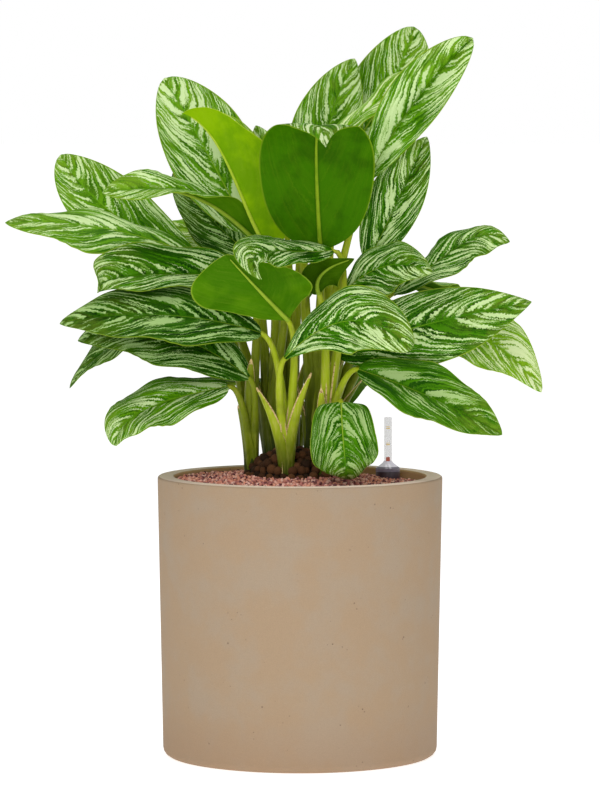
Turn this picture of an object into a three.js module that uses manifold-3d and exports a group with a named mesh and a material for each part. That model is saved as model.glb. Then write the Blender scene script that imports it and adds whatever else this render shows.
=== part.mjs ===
// A potted striped chinese evergreen: a stone pot of clay granules, a water gauge, seven shoots and leaves.
// Millimetres, +Z up, origin at the centre of the pot's foot, the front of the plant towards -Y.
import * as THREE from 'three';
import { mergeVertices } from 'three/addons/utils/BufferGeometryUtils.js';
import Module from 'manifold-3d';

const wasm = await Module();
wasm.setup();

// Driving dimensions
const CLEARANCE = 0.3;
const FACET_SLACK = 0.4;
const OPEN_TOP = 400;
const POT = { rim: 165, foot: 159, height: 324.5, wall: 20, floor: 26, corner: 9, lip: 3, sides: 48 };
const SOIL = { top: 316.5, crown: 3, grain: 1.6, rings: 6, core: 28 };
const CULTURE_POT = { x: -10, rim: 66, foot: 52, bottom: 110, top: 300, wall: 2, lip: 4, sides: 24 };
const MOUND = {
  radius: 56, peak: 350, foot: 309, edge: 4, shoulder: 0.72, shoulderRise: 18, cap: 0.36, capDrop: 9,
  drop: 5, slump: 1.25, pebble: 8, uneven: 0.25, rings: 4, perRing: 5, sides: 20, sunk: 2, holeTop: 358,
};
const GAUGE = {
  x: 103, y: 50, shaft: 11, wall: 1.4, bottom: 120, collarFoot: 310, skirtFoot: 316, skirtTop: 325,
  skirt: 14.3, taper: 0.6, bandTop: 329, neck: 6.5, neckTop: 335, coneTop: 337, tube: 5.1, tubeWall: 0.8,
  round: 1, top: 389, mouth: 10, sides: 20,
};
const FLOAT = {
  rod: 0.9, tip: 2.3, tipFoot: 337, tipTop: 343, body: 7.5, length: 32, shoulder: 4, sides: 12,
};
const CANE = { foot: 284, radius: 9.5, neck: 6.5, sides: 8 };
const STALK = {
  root: 8.8, neck: 3, rise: 0.34, entry: 0.16, steps: 5, sides: 5, gap: 0.6, slack: 0.3,
};
const SHEATH = { root: 8, tip: 2, rise: 0.5, steps: 4, sides: 5 };
const BLADE = {
  thickness: 0.9, lengthSteps: 10, halfSteps: 2, base: 0.05, tip: 0.012, widest: 0.48, fullness: 0.62,
  taper: 0.74, wave: 4.5, waves: 2.4, belly: 4,
};

const COLOUR = {
  stone: '#b39a80', granule: '#a56a5c', pebble: '#5c3c22', grey: '#3c343a', clear: '#dcdcda', red: '#b4462a',
  cane: '#6d8624', deep: '#3f6a18', mid: '#668f33', lime: '#7ea024', dark: '#356102',
};

// Canes of the shoots: where each stands in the pebbles and where its neck is
const SHOOTS = {
  a: { foot: [-52, 8], neck: [-60, 9, 385] },
  b: { foot: [-14, -36], neck: [-17, -41, 385] },
  c: { foot: [-30, 30], neck: [-38, 38, 388] },
  d: { foot: [22, -24], neck: [27, -31, 380] },
  e: { foot: [12, 4], neck: [15, 4, 395] },
  f: { foot: [18, 30], neck: [30, 37, 388] },
  g: { foot: [-8, 42], neck: [-10, 56, 385] },
};

// Old sheaths that carry no leaf: each leaves its cane at a height and ends in a free point.
const SHEATHS = [
  { shoot: 'a', at: 318, tip: [-69, -4, 408] },
  { shoot: 'a', at: 326, tip: [-56, -14, 462] },
  { shoot: 'b', at: 312, tip: [-47, -54, 432] },
  { shoot: 'b', at: 308, tip: [10, -50, 448] },
  { shoot: 'c', at: 325, tip: [-22, 36, 430] },
  { shoot: 'd', at: 304, tip: [24, -46, 430] },
  { shoot: 'e', at: 330, tip: [26, 12, 440] },
  { shoot: 'f', at: 318, tip: [70, 20, 438] },
  { shoot: 'f', at: 330, tip: [48, 30, 462] },
  { shoot: 'g', at: 322, tip: [0, 52, 425] },
];

// Leaves: rib holds points along the midrib from stalk to tip. left and right reach from it to the margins
// at the widest place, seen on the upper face with the tip ahead, and turn to leftEnd and rightEnd by the
// tip. at is the height where the stalk leaves its cane.
const LEAVES = [
  { name: 'far_left', tone: 'mid', shoot: 'a', at: 322,
    rib: [[-122, 30, 578], [-231, 10, 611], [-340, -5, 617]], left: [0, -38, -26], right: [0, 38, 16] },
  { name: 'high_left', tone: 'mid', shoot: 'c', at: 310,
    rib: [[-123, 60, 572], [-220, 55, 628], [-279, 50, 695]], left: [-38, 10, -16], right: [35, 10, 25],
    taper: 0.62 },
  { name: 'folded_left', tone: 'mid', shoot: 'c', at: 329,
    rib: [[-40, 30, 586], [-95, 6, 634], [-150, -22, 655], [-226, -38, 652]],
    left: [4, -18, 44], leftEnd: [0, -26, -30], right: [2, 22, -22], rightEnd: [8, 30, 42],
    widest: 0.5, fullness: 0.5, taper: 0.7 },
  { name: 'cup_left', tone: 'deep', shoot: 'a', at: 330,
    rib: [[-66, 0, 556], [-130, -20, 558], [-200, -50, 556], [-229, -95, 541]],
    left: [0, -28, -14], leftEnd: [0, -20, -16], right: [0, 18, 33], rightEnd: [0, 18, 36],
    widest: 0.5, fullness: 0.42, taper: 0.3 },
  { name: 'broad_left', tone: 'deep', shoot: 'b', at: 304,
    rib: [[-44, -34, 491], [-156, -60, 513], [-273, -80, 504]], left: [0, -34, -28], right: [0, 32, 32] },
  { name: 'under_left', tone: 'deep', shoot: 'a', at: 313,
    rib: [[-58, -14, 438], [-156, -25, 489], [-255, -34, 482]], left: [-7, -28, -31], right: [9, 22, 32] },
  { name: 'low_left', tone: 'deep', shoot: 'a', at: 327,
    rib: [[-99, 25, 492], [-197, 15, 483], [-267, 10, 425]], left: [7, -36, -12],
    leftEnd: [4, -16, -6], right: [-9, 40, 14] },
  { name: 'bottom_left', tone: 'mid', shoot: 'a', at: 304,
    rib: [[-82, -15, 429], [-140, -22, 416], [-190, -34, 396], [-211, -44, 362]],
    left: [6, -30, -22], leftEnd: [16, -28, -18], right: [-8, 30, 22], rightEnd: [-22, 26, 18],
    widest: 0.5, fullness: 0.5, taper: 0.52 },
  { name: 'tall_left', tone: 'mid', shoot: 'c', at: 334,
    rib: [[-61, 65, 606], [-111, 60, 702], [-159, 75, 784]], left: [-42, 5, -17], right: [46, 2, 25],
    taper: 0.6 },
  { name: 'yellow', tone: 'lime', shoot: 'c', at: 333,
    rib: [[-27, 8, 580], [-58, 5, 629], [-90, 2, 699], [-135, 0, 743]],
    left: [43, -15, 20], right: [34, 28, 27] },
  { name: 'behind_left', tone: 'deep', shoot: 'c', at: 329,
    rib: [[-45, 105, 567], [-100, 103, 614], [-150, 100, 673]], left: [-21, -14, -21], right: [25, 12, 21] },
  { name: 'bright_behind', tone: 'lime', shoot: 'c', at: 320,
    rib: [[-45, 130, 560], [-104, 132, 597], [-164, 125, 609]], left: [0, -18, -18], right: [0, 24, 18] },
  { name: 'small_top', tone: 'mid', shoot: 'g', at: 334,
    rib: [[-18, 90, 618], [-33, 90, 675], [-52, 95, 729]], left: [-23, 20, -6], right: [25, 15, 5] },
  { name: 'centre_back', tone: 'dark', shoot: 'e', at: 342,
    rib: [[24, -15, 586], [20, -40, 645], [19, -70, 718], [29, -120, 705]],
    left: [70, 18, 0], leftEnd: [60, 14, -8], right: [-69, 18, 0], rightEnd: [-58, 16, -3],
    widest: 0.5, fullness: 0.66, taper: 1.1 },
  { name: 'upper_middle', tone: 'mid', shoot: 'f', at: 337,
    rib: [[21, 66, 625], [33, 74, 723], [64, 74, 807]], left: [-43, 10, 0], right: [39, 5, -5] },
  { name: 'top', tone: 'mid', shoot: 'f', at: 339,
    rib: [[58, 98, 700], [103, 108, 769], [134, 104, 845]], left: [-42, 12, 14], right: [42, 12, -19],
    taper: 0.6 },
  { name: 'large_right', tone: 'lime', shoot: 'e', at: 328,
    rib: [[78, 0, 666], [130, -5, 753], [198, -20, 829]], left: [-27, -22, 20], right: [23, -22, -17],
    widest: 0.55, taper: 0.55 },
  { name: 'band_right', tone: 'lime', shoot: 'e', at: 339,
    rib: [[26, 22, 703], [99, 30, 763], [168, 25, 820]], left: [-7, 26, 9], right: [7, -26, -9] },
  { name: 'vertical_right', tone: 'mid', shoot: 'e', at: 329,
    rib: [[79, 20, 571], [114, 25, 643], [147, 25, 716]], left: [-39, -10, -2], right: [29, -10, -3] },
  { name: 'upper_right', tone: 'mid', shoot: 'f', at: 327,
    rib: [[108, 38, 534], [159, 36, 570], [202, 34, 598], [244, 36, 594]],
    left: [-6, 16, 15], right: [8, -26, -13], rightEnd: [8, -26, -28], taper: 0.6 },
  { name: 'dome_right', tone: 'mid', shoot: 'd', at: 329,
    rib: [[52, -8, 539], [101, -42, 569], [150, -82, 562]], left: [-5, 22, 24],
    right: [5, -22, -26], rightEnd: [5, -26, -34] },
  { name: 'big_right', tone: 'mid', shoot: 'e', at: 320,
    rib: [[40, 0, 468], [154, -10, 502], [267, -10, 526]], left: [-7, 4, 37],
    right: [7, -10, -45], taper: 0.9 },
  { name: 'front_right', tone: 'mid', shoot: 'b', at: 316,
    rib: [[-18, -58, 463], [57, -92, 508], [125, -122, 476]], left: [-3, 14, 38],
    right: [3, -16, -36], widest: 0.58, fullness: 0.7, taper: 0.42 },
  { name: 'lower_right', tone: 'lime', shoot: 'f', at: 316,
    rib: [[111, 50, 491], [208, 45, 485], [281, 30, 419]], left: [19, 20, 30], right: [-16, -25, -28] },
  { name: 'bottom_right', tone: 'mid', shoot: 'd', at: 313,
    rib: [[66, -38, 450], [152, -48, 417], [231, -60, 376]], left: [14, 14, 32], right: [-11, -32, -22] },
  { name: 'heart_front', tone: 'deep', shoot: 'd', at: 304,
    rib: [[47, -62, 414], [49, -92, 373], [52, -104, 342], [54, -80, 327]],
    left: [38, 12, 0], right: [-37, 12, 0], lobe: 15, widest: 0.38, fullness: 0.7, taper: 1.15 },
  { name: 'small_centre', tone: 'mid', shoot: 'd', at: 327,
    rib: [[38, -32, 586], [-12, -68, 586], [-48, -104, 583], [-43, -122, 556]], left: [16, -12, -15],
    right: [-20, 8, 16], rightEnd: [-30, 4, 16], wave: 2, taper: 0.6 },
  { name: 'dark_centre', tone: 'dark', shoot: 'd', at: 333,
    rib: [[22, -40, 536], [26, -44, 560], [62, -48, 577]], left: [20, 6, -12], right: [-22, 8, 2], wave: 2 },
  { name: 'waved_centre', tone: 'dark', shoot: 'b', at: 306,
    rib: [[-14, -48, 507], [-46, -72, 541], [-84, -94, 583]], left: [76, 18, 14], leftEnd: [40, 10, 4],
    right: [-34, -8, -10], rightEnd: [-86, -12, -22], sweep: 0.8, wave: 5, widest: 0.56, fullness: 0.85 },
  { name: 'rear_left', tone: 'mid', shoot: 'c', at: 304,
    rib: [[-60, 110, 520], [-130, 190, 540], [-190, 250, 500]], left: [-28, -30, 4], right: [28, 30, 4] },
  { name: 'rear_left_high', tone: 'deep', shoot: 'g', at: 328,
    rib: [[-40, 140, 600], [-70, 215, 640], [-100, 290, 625]], left: [-36, -16, 4], right: [36, 16, 4] },
  { name: 'rear_left_low', tone: 'deep', shoot: 'g', at: 304,
    rib: [[-50, 100, 425], [-105, 165, 415], [-150, 215, 375]], left: [-26, -28, 4], right: [26, 28, 4] },
  { name: 'rear_middle', tone: 'mid', shoot: 'g', at: 316,
    rib: [[-10, 130, 510], [-20, 230, 540], [-30, 320, 490]], left: [-42, -4, 4], right: [42, 4, 4] },
  { name: 'rear_upright', tone: 'mid', shoot: 'g', at: 336,
    rib: [[0, 110, 640], [-10, 180, 694], [-20, 260, 698]], left: [-42, -4, 4], right: [42, 4, 4] },
  { name: 'rear_right', tone: 'deep', shoot: 'f', at: 304,
    rib: [[70, 110, 500], [140, 190, 510], [200, 250, 470]], left: [-28, 30, 4], right: [28, -30, 4] },
  { name: 'rear_right_high', tone: 'mid', shoot: 'f', at: 330,
    rib: [[80, 110, 530], [145, 180, 538], [195, 230, 505]], left: [-28, 30, 4], right: [28, -30, 4] },
  { name: 'rear_right_low', tone: 'deep', shoot: 'g', at: 310,
    rib: [[30, 110, 440], [45, 190, 430], [55, 260, 385]], left: [-38, 8, 4], right: [38, -8, 4] },
];

// Small helpers
const vector = (xyz) => new THREE.Vector3(...xyz);

function bare(geometry) {
  const copy = geometry.index ? geometry.toNonIndexed() : geometry.clone();
  copy.deleteAttribute('normal');
  copy.deleteAttribute('uv');
  return mergeVertices(copy, 1e-4);
}

function toSolid(geometry) {
  const merged = bare(geometry);
  return new wasm.Manifold(new wasm.Mesh({
    numProp: 3,
    vertProperties: new Float32Array(merged.attributes.position.array),
    triVerts: new Uint32Array(merged.index.array),
  }));
}

function toGeometry(solid) {
  const mesh = solid.getMesh();
  const geometry = new THREE.BufferGeometry();
  geometry.setAttribute('position', new THREE.BufferAttribute(new Float32Array(mesh.vertProperties), 3));
  geometry.setIndex([...mesh.triVerts]);
  return geometry;
}

function fuse(geometries) {
  return toGeometry(geometries.map(toSolid).reduce((sum, next) => sum.add(next)));
}

// Cuts the tools out and keeps the largest body that is left.
function cut(geometry, tools) {
  const rest = tools.map(toSolid).reduce((left, tool) => left.subtract(tool), toSolid(geometry));
  return toGeometry(rest.decompose().sort((a, b) => b.volume() - a.volume())[0]);
}

// A turned solid about a vertical axis; the profile holds [radius, height] pairs and is closed.
function turned(profile, sides) {
  const points = [...profile, profile[0]].map(([radius, height]) => new THREE.Vector2(radius, height));
  return new THREE.LatheGeometry(points, sides).rotateX(Math.PI / 2);
}

// A round rod that thins along a curve, its end discs square to the curve.
function taperedRod(curve, rootRadius, endRadius, steps, sides) {
  const rod = new THREE.CylinderGeometry(1, 1, 1, sides, steps);
  const position = rod.attributes.position;
  const frames = curve.computeFrenetFrames(steps, false);
  for (let i = 0; i < position.count; i += 1) {
    const ring = Math.round((0.5 - position.getY(i)) * steps);
    const radius = THREE.MathUtils.lerp(rootRadius, endRadius, ring / steps);
    const place = curve.getPointAt(ring / steps);
    place.addScaledVector(frames.normals[ring], radius * position.getX(i));
    place.addScaledVector(frames.binormals[ring], radius * position.getZ(i));
    position.setXYZ(i, place.x, place.y, place.z);
  }
  return facingOut(rod);
}

// Turns the triangles over where the enclosed volume comes out negative.
function facingOut(geometry) {
  const merged = bare(geometry);
  const position = merged.attributes.position;
  const index = merged.index.array;
  const corner = (i) => new THREE.Vector3().fromBufferAttribute(position, index[i]);
  let volume = 0;
  for (let i = 0; i < index.length; i += 3) {
    volume += corner(i).dot(corner(i + 1).cross(corner(i + 2)));
  }
  if (volume < 0) {
    for (let i = 0; i < index.length; i += 3) {
      [index[i], index[i + 1]] = [index[i + 1], index[i]];
    }
  }
  return merged;
}

// Pot and what fills it
function potGeometry() {
  const { rim, foot, height, wall, floor, corner, lip, sides } = POT;
  const bore = foot - wall;
  const slope = (rim - foot) / height;
  return turned([
    [0, 0],
    [foot - corner, 0],
    [foot - corner * 0.35, corner * 0.28],
    [foot + slope * corner, corner],
    [rim - slope * lip, height - lip],
    [rim - lip * 0.4, height - lip * 0.2],
    [rim - lip, height],
    [rim - wall + lip, height],
    [rim - wall + lip * 0.3, height - lip * 0.4],
    [rim - wall, height - lip],
    [bore, floor],
    [0, floor],
  ], sides);
}

function innerRadius(z) {
  const { rim, foot, height, wall, lip, floor } = POT;
  const share = (z - floor) / (height - lip - floor);
  return THREE.MathUtils.lerp(foot - wall, rim - wall, share);
}

// Low relief of the granules: a smooth hash of the place, from -1 to 1.
function relief(x, y) {
  return Math.sin(x * 0.31 + 1.7 * Math.sin(y * 0.23)) * Math.sin(y * 0.29 + 1.3 * Math.sin(x * 0.19 + 2));
}

function soilHeight(radius) {
  return SOIL.top + SOIL.crown * (1 - (radius / POT.rim) ** 2);
}

// The bed fills the pot; it is cut out for the culture pot and the mound over it, and for the gauge.
function granuleGeometry() {
  const floor = POT.floor + CLEARANCE;
  const margin = CLEARANCE + FACET_SLACK;
  const outer = innerRadius(SOIL.top) - margin;
  const surface = [];
  for (let i = 0; i <= SOIL.rings; i += 1) {
    const radius = THREE.MathUtils.lerp(SOIL.core, outer, i / SOIL.rings);
    surface.push([radius, soilHeight(radius)]);
  }
  const profile = [[0, floor], [0, surface[0][1]], ...surface, [innerRadius(floor) - margin, floor]];
  const bed = turned(profile.reverse(), POT.sides);
  const position = bed.attributes.position;
  for (let i = 0; i < position.count; i += 1) {
    const [x, y, z] = [position.getX(i), position.getY(i), position.getZ(i)];
    if (z > SOIL.top - 1 && Math.hypot(x, y) < outer - 1) {
      position.setZ(i, z + SOIL.grain * relief(x, y));
    }
  }
  const wells = [gaugeWell(GAUGE.shaft, GAUGE.bottom), gaugeWell(GAUGE.skirt, GAUGE.collarFoot)];
  return cut(bed, [culturePocket(), ...wells]);
}

function culturePocket() {
  const { x, rim, foot, bottom, top, lip, sides } = CULTURE_POT;
  const gap = CLEARANCE;
  return turned([
    [0, bottom - gap],
    [foot + gap, bottom - gap],
    [rim + gap, top - lip - gap],
    [rim + lip + gap, top - lip - gap],
    [rim + lip + gap, MOUND.foot - gap],
    [MOUND.radius + gap, MOUND.foot - gap],
    [MOUND.radius + gap, OPEN_TOP],
    [0, OPEN_TOP],
  ], sides).translate(x, 0, 0);
}

function gaugeWell(radius, bottom) {
  const reach = radius + CLEARANCE;
  const foot = bottom - CLEARANCE;
  return turned([[0, foot], [reach, foot], [reach, OPEN_TOP], [0, OPEN_TOP]], GAUGE.sides)
    .translate(GAUGE.x, GAUGE.y, 0);
}

function culturePotGeometry() {
  const { x, rim, foot, bottom, top, wall, lip, sides } = CULTURE_POT;
  return turned([
    [0, bottom],
    [foot, bottom],
    [rim, top - lip],
    [rim + lip, top - lip],
    [rim + lip, top],
    [rim - wall, top],
    [foot - wall, bottom + wall],
    [0, bottom + wall],
  ], sides).translate(x, 0, 0);
}

// Pebbles: the fill of the culture pot below, heaped into a mound of single stones above it.
function pebbleGeometry() {
  const { x, rim, foot, bottom, top, wall } = CULTURE_POT;
  const { radius, peak, edge, shoulder, shoulderRise, cap, capDrop, drop, slump, sides, sunk } = MOUND;
  const { pebble, uneven, rings, perRing } = MOUND;
  const gap = CLEARANCE;
  const fill = turned([
    [0, bottom + wall + gap],
    [foot - wall - gap * 2, bottom + wall + gap],
    [rim - wall - gap * 2, top + gap],
    [radius - gap, top + gap],
    [radius - gap, MOUND.foot + edge],
    [radius * shoulder, MOUND.foot + shoulderRise],
    [radius * cap, peak - capDrop],
    [0, peak - drop],
  ], sides).translate(x, 0, 0);
  const stones = [];
  for (let ring = 1; ring < rings; ring += 1) {
    const share = ring / rings;
    const count = perRing * ring;
    const height = THREE.MathUtils.lerp(peak, MOUND.foot + edge, share ** slump) - sunk;
    const reach = radius * share;
    for (let i = 0; i < count; i += 1) {
      const turn = (i + share) / count * Math.PI * 2;
      const size = pebble * (1 + uneven * Math.sin(7 * i + 3 * ring));
      const stone = new THREE.IcosahedronGeometry(size, 0).rotateX(i + ring).rotateY(2 * i);
      stones.push(stone.translate(x + reach * Math.cos(turn), reach * Math.sin(turn), height));
    }
  }
  return fuse([fill, ...stones]);
}

// Water gauge
function gaugeSleeveGeometry() {
  const { x, y, shaft, wall, bottom, collarFoot, skirtFoot, skirtTop, skirt, taper, sides } = GAUGE;
  return turned([
    [0, bottom],
    [shaft, bottom],
    [shaft, collarFoot],
    [skirt - taper, collarFoot],
    [skirt, skirtFoot],
    [skirt, skirtTop],
    [shaft - wall, skirtTop],
    [shaft - wall, bottom + wall],
    [0, bottom + wall],
  ], sides).translate(x, y, 0);
}

function gaugeTubeGeometry() {
  const { x, y, skirtTop, skirt, bandTop, neck, neckTop, coneTop, round, top, mouth, sides } = GAUGE;
  const { tube, tubeWall } = GAUGE;
  const foot = skirtTop + CLEARANCE;
  return turned([
    [mouth, foot],
    [skirt, foot],
    [skirt, bandTop],
    [neck, neckTop],
    [tube, coneTop],
    [tube, top - round],
    [tube - round, top],
    [0, top],
    [0, top - tubeWall],
    [tube - tubeWall, top - tubeWall - round],
    [tube - tubeWall, coneTop],
    [mouth, bandTop - round],
  ], sides).translate(x, y, 0);
}

function gaugeFloatGeometry() {
  const { rod, tip, tipFoot, tipTop, body, length, shoulder, sides } = FLOAT;
  const bodyFoot = GAUGE.bottom + GAUGE.wall + CLEARANCE;
  const bodyTop = bodyFoot + length;
  return turned([
    [0, bodyFoot],
    [body, bodyFoot],
    [body, bodyTop],
    [rod, bodyTop + shoulder],
    [rod, tipFoot - 1],
    [tip, tipFoot],
    [tip, tipTop],
    [0, tipTop + 1],
  ], sides).translate(GAUGE.x, GAUGE.y, 0);
}

// Leaves
function ribCurve(points) {
  const p = points.map(vector);
  const mix = (weights) => (
    weights.reduce((sum, weight, i) => sum.addScaledVector(p[i], weight), new THREE.Vector3()));
  if (p.length === 3) {
    return new THREE.QuadraticBezierCurve3(p[0], mix([-0.5, 2, -0.5]), p[2]);
  }
  const first = mix([-5 / 6, 3, -1.5, 1 / 3]);
  const second = mix([1 / 3, -1.5, 3, -5 / 6]);
  return new THREE.CubicBezierCurve3(p[0], first, second, p[3]);
}

// Half width along the rib as a share of the widest: round at the stalk, drawn out at the tip.
function outline(leaf, u) {
  const widest = leaf.widest ?? BLADE.widest;
  const swell = Math.sin(Math.PI * u ** (Math.log(0.5) / Math.log(widest)));
  const power = u < widest ? leaf.fullness ?? BLADE.fullness : leaf.taper ?? BLADE.taper;
  return Math.max(swell, 0) ** power + BLADE.base * (1 - u) + BLADE.tip * u;
}

// A point of the blade's middle surface: u runs from stalk to tip, v from -1 at the left margin to 1 at the
// right.
function bladePoint(leaf, phase, u, v) {
  const curve = ribCurve(leaf.rib);
  const tangent = curve.getTangent(u);
  const left = vector(leaf.left).lerp(vector(leaf.leftEnd ?? leaf.left), u);
  const right = vector(leaf.right).lerp(vector(leaf.rightEnd ?? leaf.right), u);
  const upper = right.clone().sub(left).cross(tangent).normalize();
  const reach = v < 0 ? left : right;
  const sweep = (leaf.sweep ?? 0) * Math.min(4 * u, 1);
  reach.addScaledVector(tangent, -reach.dot(tangent) * (1 - sweep));
  const edge = Math.abs(v);
  const width = outline(leaf, u);
  const lift = BLADE.belly * 4 * edge * (1 - edge) * width;
  const sway = Math.sin(Math.PI * 2 * (BLADE.waves * u + phase + (v < 0 ? 0.37 : 0)));
  const wave = (leaf.wave ?? BLADE.wave) * sway * edge ** 1.5 * Math.sin(Math.PI * u);
  const back = -(leaf.lobe ?? 0) * edge * Math.sin(Math.PI * Math.min(u * 4, 1));
  return curve.getPoint(u).addScaledVector(reach, edge * width).addScaledVector(upper, lift + wave)
    .addScaledVector(tangent, back);
}

// One blade as a closed solid of even thickness, both faces split alike.
function bladeGeometry(leaf, phase) {
  const { thickness, lengthSteps, halfSteps } = BLADE;
  const columns = halfSteps * 2 + 1;
  const rows = lengthSteps + 1;
  const points = [];
  for (let i = 0; i < rows; i += 1) {
    for (let j = 0; j < columns; j += 1) {
      points.push(bladePoint(leaf, phase, i / lengthSteps, j / halfSteps - 1));
    }
  }
  const at = (i, j) => points[i * columns + j];
  const vertices = [[], []];
  for (let i = 0; i < rows; i += 1) {
    for (let j = 0; j < columns; j += 1) {
      const along = at(Math.min(i + 1, rows - 1), j).clone().sub(at(Math.max(i - 1, 0), j));
      const over = at(i, Math.min(j + 1, columns - 1)).clone().sub(at(i, Math.max(j - 1, 0)));
      const normal = over.cross(along).normalize();
      vertices[0].push(at(i, j).clone().addScaledVector(normal, thickness / 2));
      vertices[1].push(at(i, j).clone().addScaledVector(normal, -thickness / 2));
    }
  }
  const count = rows * columns;
  const index = [];
  for (let i = 0; i < rows - 1; i += 1) {
    for (let j = 0; j < columns - 1; j += 1) {
      const a = i * columns + j;
      const [b, c, d] = [a + 1, a + columns, a + columns + 1];
      index.push(a, b, d, a, d, c);
      index.push(a + count, d + count, b + count, a + count, c + count, d + count);
    }
  }
  const wall = (p, q) => index.push(p, p + count, q + count, p, q + count, q);
  for (let j = 0; j < columns - 1; j += 1) {
    wall(j, j + 1);
    wall(count - 1 - j, count - 2 - j);
  }
  for (let i = 0; i < rows - 1; i += 1) {
    wall((i + 1) * columns, i * columns);
    wall(i * columns + columns - 1, (i + 1) * columns + columns - 1);
  }
  const geometry = new THREE.BufferGeometry();
  const flat = [...vertices[0], ...vertices[1]].flatMap((p) => [p.x, p.y, p.z]);
  geometry.setAttribute('position', new THREE.Float32BufferAttribute(flat, 3));
  geometry.setIndex(index);
  return facingOut(geometry);
}

// Shoots
function caneCurve(shoot) {
  const [x, y] = shoot.foot;
  return new THREE.LineCurve3(vector([x, y, CANE.foot]), vector(shoot.neck));
}

function stalkCurve(leaf) {
  const cane = caneCurve(SHOOTS[leaf.shoot]);
  const share = (leaf.at - CANE.foot) / (cane.v2.z - CANE.foot);
  const root = cane.getPoint(share);
  const rib = ribCurve(leaf.rib);
  const entry = rib.getTangent(0);
  const end = rib.getPoint(0).addScaledVector(entry, -STALK.gap);
  const reach = root.distanceTo(end);
  const rise = cane.getTangent(0).multiplyScalar(reach * STALK.rise);
  const approach = end.clone().addScaledVector(entry, -reach * STALK.entry);
  return new THREE.CubicBezierCurve3(root, root.clone().add(rise), approach, end);
}

function sheathCurve({ shoot, at, tip }) {
  const cane = caneCurve(SHOOTS[shoot]);
  const root = cane.getPoint((at - CANE.foot) / (cane.v2.z - CANE.foot));
  const rise = cane.getTangent(0).multiplyScalar(root.distanceTo(vector(tip)) * SHEATH.rise);
  return new THREE.QuadraticBezierCurve3(root, root.clone().add(rise), vector(tip));
}

// One shoot: the cane and every stalk and sheath on it; grow makes all of them thicker, for the holes they
// stand in.
function shootGeometry(name, grow = 0) {
  const { radius, neck, sides } = CANE;
  const cane = taperedRod(caneCurve(SHOOTS[name]), radius + grow, neck + grow, 2, sides);
  const stalks = LEAVES.filter((leaf) => leaf.shoot === name).map((leaf) => (
    taperedRod(stalkCurve(leaf), STALK.root + grow, STALK.neck + grow, STALK.steps, STALK.sides)));
  const sheaths = SHEATHS.filter((sheath) => sheath.shoot === name).map((sheath) => (
    taperedRod(sheathCurve(sheath), SHEATH.root + grow, SHEATH.tip + grow, SHEATH.steps, SHEATH.sides)));
  return fuse([cane, ...stalks, ...sheaths]);
}

// The hole in the mound for one shoot: a single convex outline round all of it below the mound's top.
function stemHole(name) {
  const grown = toSolid(shootGeometry(name, CLEARANCE + STALK.slack));
  return toGeometry(grown.trimByPlane([0, 0, -1], -MOUND.holeTop).hull());
}

// Assembly
function piece(name, geometry, colour, roughness = 0.6, more = {}) {
  const material = new THREE.MeshStandardMaterial({ color: colour, roughness, metalness: 0, ...more });
  const mesh = new THREE.Mesh(geometry, material);
  mesh.name = name;
  return mesh;
}

const stemHoles = Object.keys(SHOOTS).map(stemHole);
const plant = new THREE.Group();
plant.add(piece('planter_pot', potGeometry(), COLOUR.stone, 0.95));
plant.add(piece('granule_bed', granuleGeometry(), COLOUR.granule, 0.95));
plant.add(piece('culture_pot', culturePotGeometry(), COLOUR.grey, 0.5));
plant.add(piece('pebble_mound', cut(pebbleGeometry(), stemHoles), COLOUR.pebble, 0.9));
plant.add(piece('gauge_sleeve', gaugeSleeveGeometry(), COLOUR.grey, 0.4));
plant.add(piece('gauge_tube', gaugeTubeGeometry(), COLOUR.clear, 0.1, { transparent: true, opacity: 0.4 }));
plant.add(piece('gauge_float', gaugeFloatGeometry(), COLOUR.red, 0.4));
Object.keys(SHOOTS).forEach((name) => {
  plant.add(piece(`shoot_${name}`, shootGeometry(name), COLOUR.cane, 0.5));
});
LEAVES.forEach((leaf, i) => {
  plant.add(piece(`leaf_${leaf.name}`, bladeGeometry(leaf, (i * 0.618) % 1), COLOUR[leaf.tone], 0.45));
});

export default plant;
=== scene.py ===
"""The looks of a potted striped chinese evergreen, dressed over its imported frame, in metres."""

import logging
import math
from dataclasses import dataclass
from enum import Enum
from typing import ClassVar

import bpy
import numpy as np
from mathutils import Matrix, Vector


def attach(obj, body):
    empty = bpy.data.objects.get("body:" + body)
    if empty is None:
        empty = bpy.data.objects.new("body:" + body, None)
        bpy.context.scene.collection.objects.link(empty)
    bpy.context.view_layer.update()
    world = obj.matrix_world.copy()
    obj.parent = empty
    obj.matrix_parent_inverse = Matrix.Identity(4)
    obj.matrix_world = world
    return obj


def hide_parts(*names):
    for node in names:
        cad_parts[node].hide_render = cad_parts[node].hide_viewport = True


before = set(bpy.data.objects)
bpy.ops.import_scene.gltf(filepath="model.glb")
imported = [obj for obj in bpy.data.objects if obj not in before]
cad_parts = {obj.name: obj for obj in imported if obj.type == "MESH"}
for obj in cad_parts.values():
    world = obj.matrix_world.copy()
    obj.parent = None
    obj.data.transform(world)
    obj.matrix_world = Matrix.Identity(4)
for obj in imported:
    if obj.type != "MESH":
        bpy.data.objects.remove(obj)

LOG = logging.getLogger("evergreen")
MM = 0.001
PLANTER = "planter"
FLOAT_BODY = "float"

Point = tuple[float, float, float]
Socket = bpy.types.NodeSocket


# Small tools for meshes


def clear_selection() -> None:
    """Leave edit mode and deselect everything, since an operator acts on all that is selected."""
    if bpy.context.mode != "OBJECT":
        bpy.ops.object.mode_set(mode="OBJECT")
    bpy.ops.object.select_all(action="DESELECT")


def pick(piece: bpy.types.Object) -> None:
    """Select one object alone and make it the active one.

    Args:
        piece: The object to work on.
    """
    clear_selection()
    piece.select_set(True)
    bpy.context.view_layer.objects.active = piece


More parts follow.
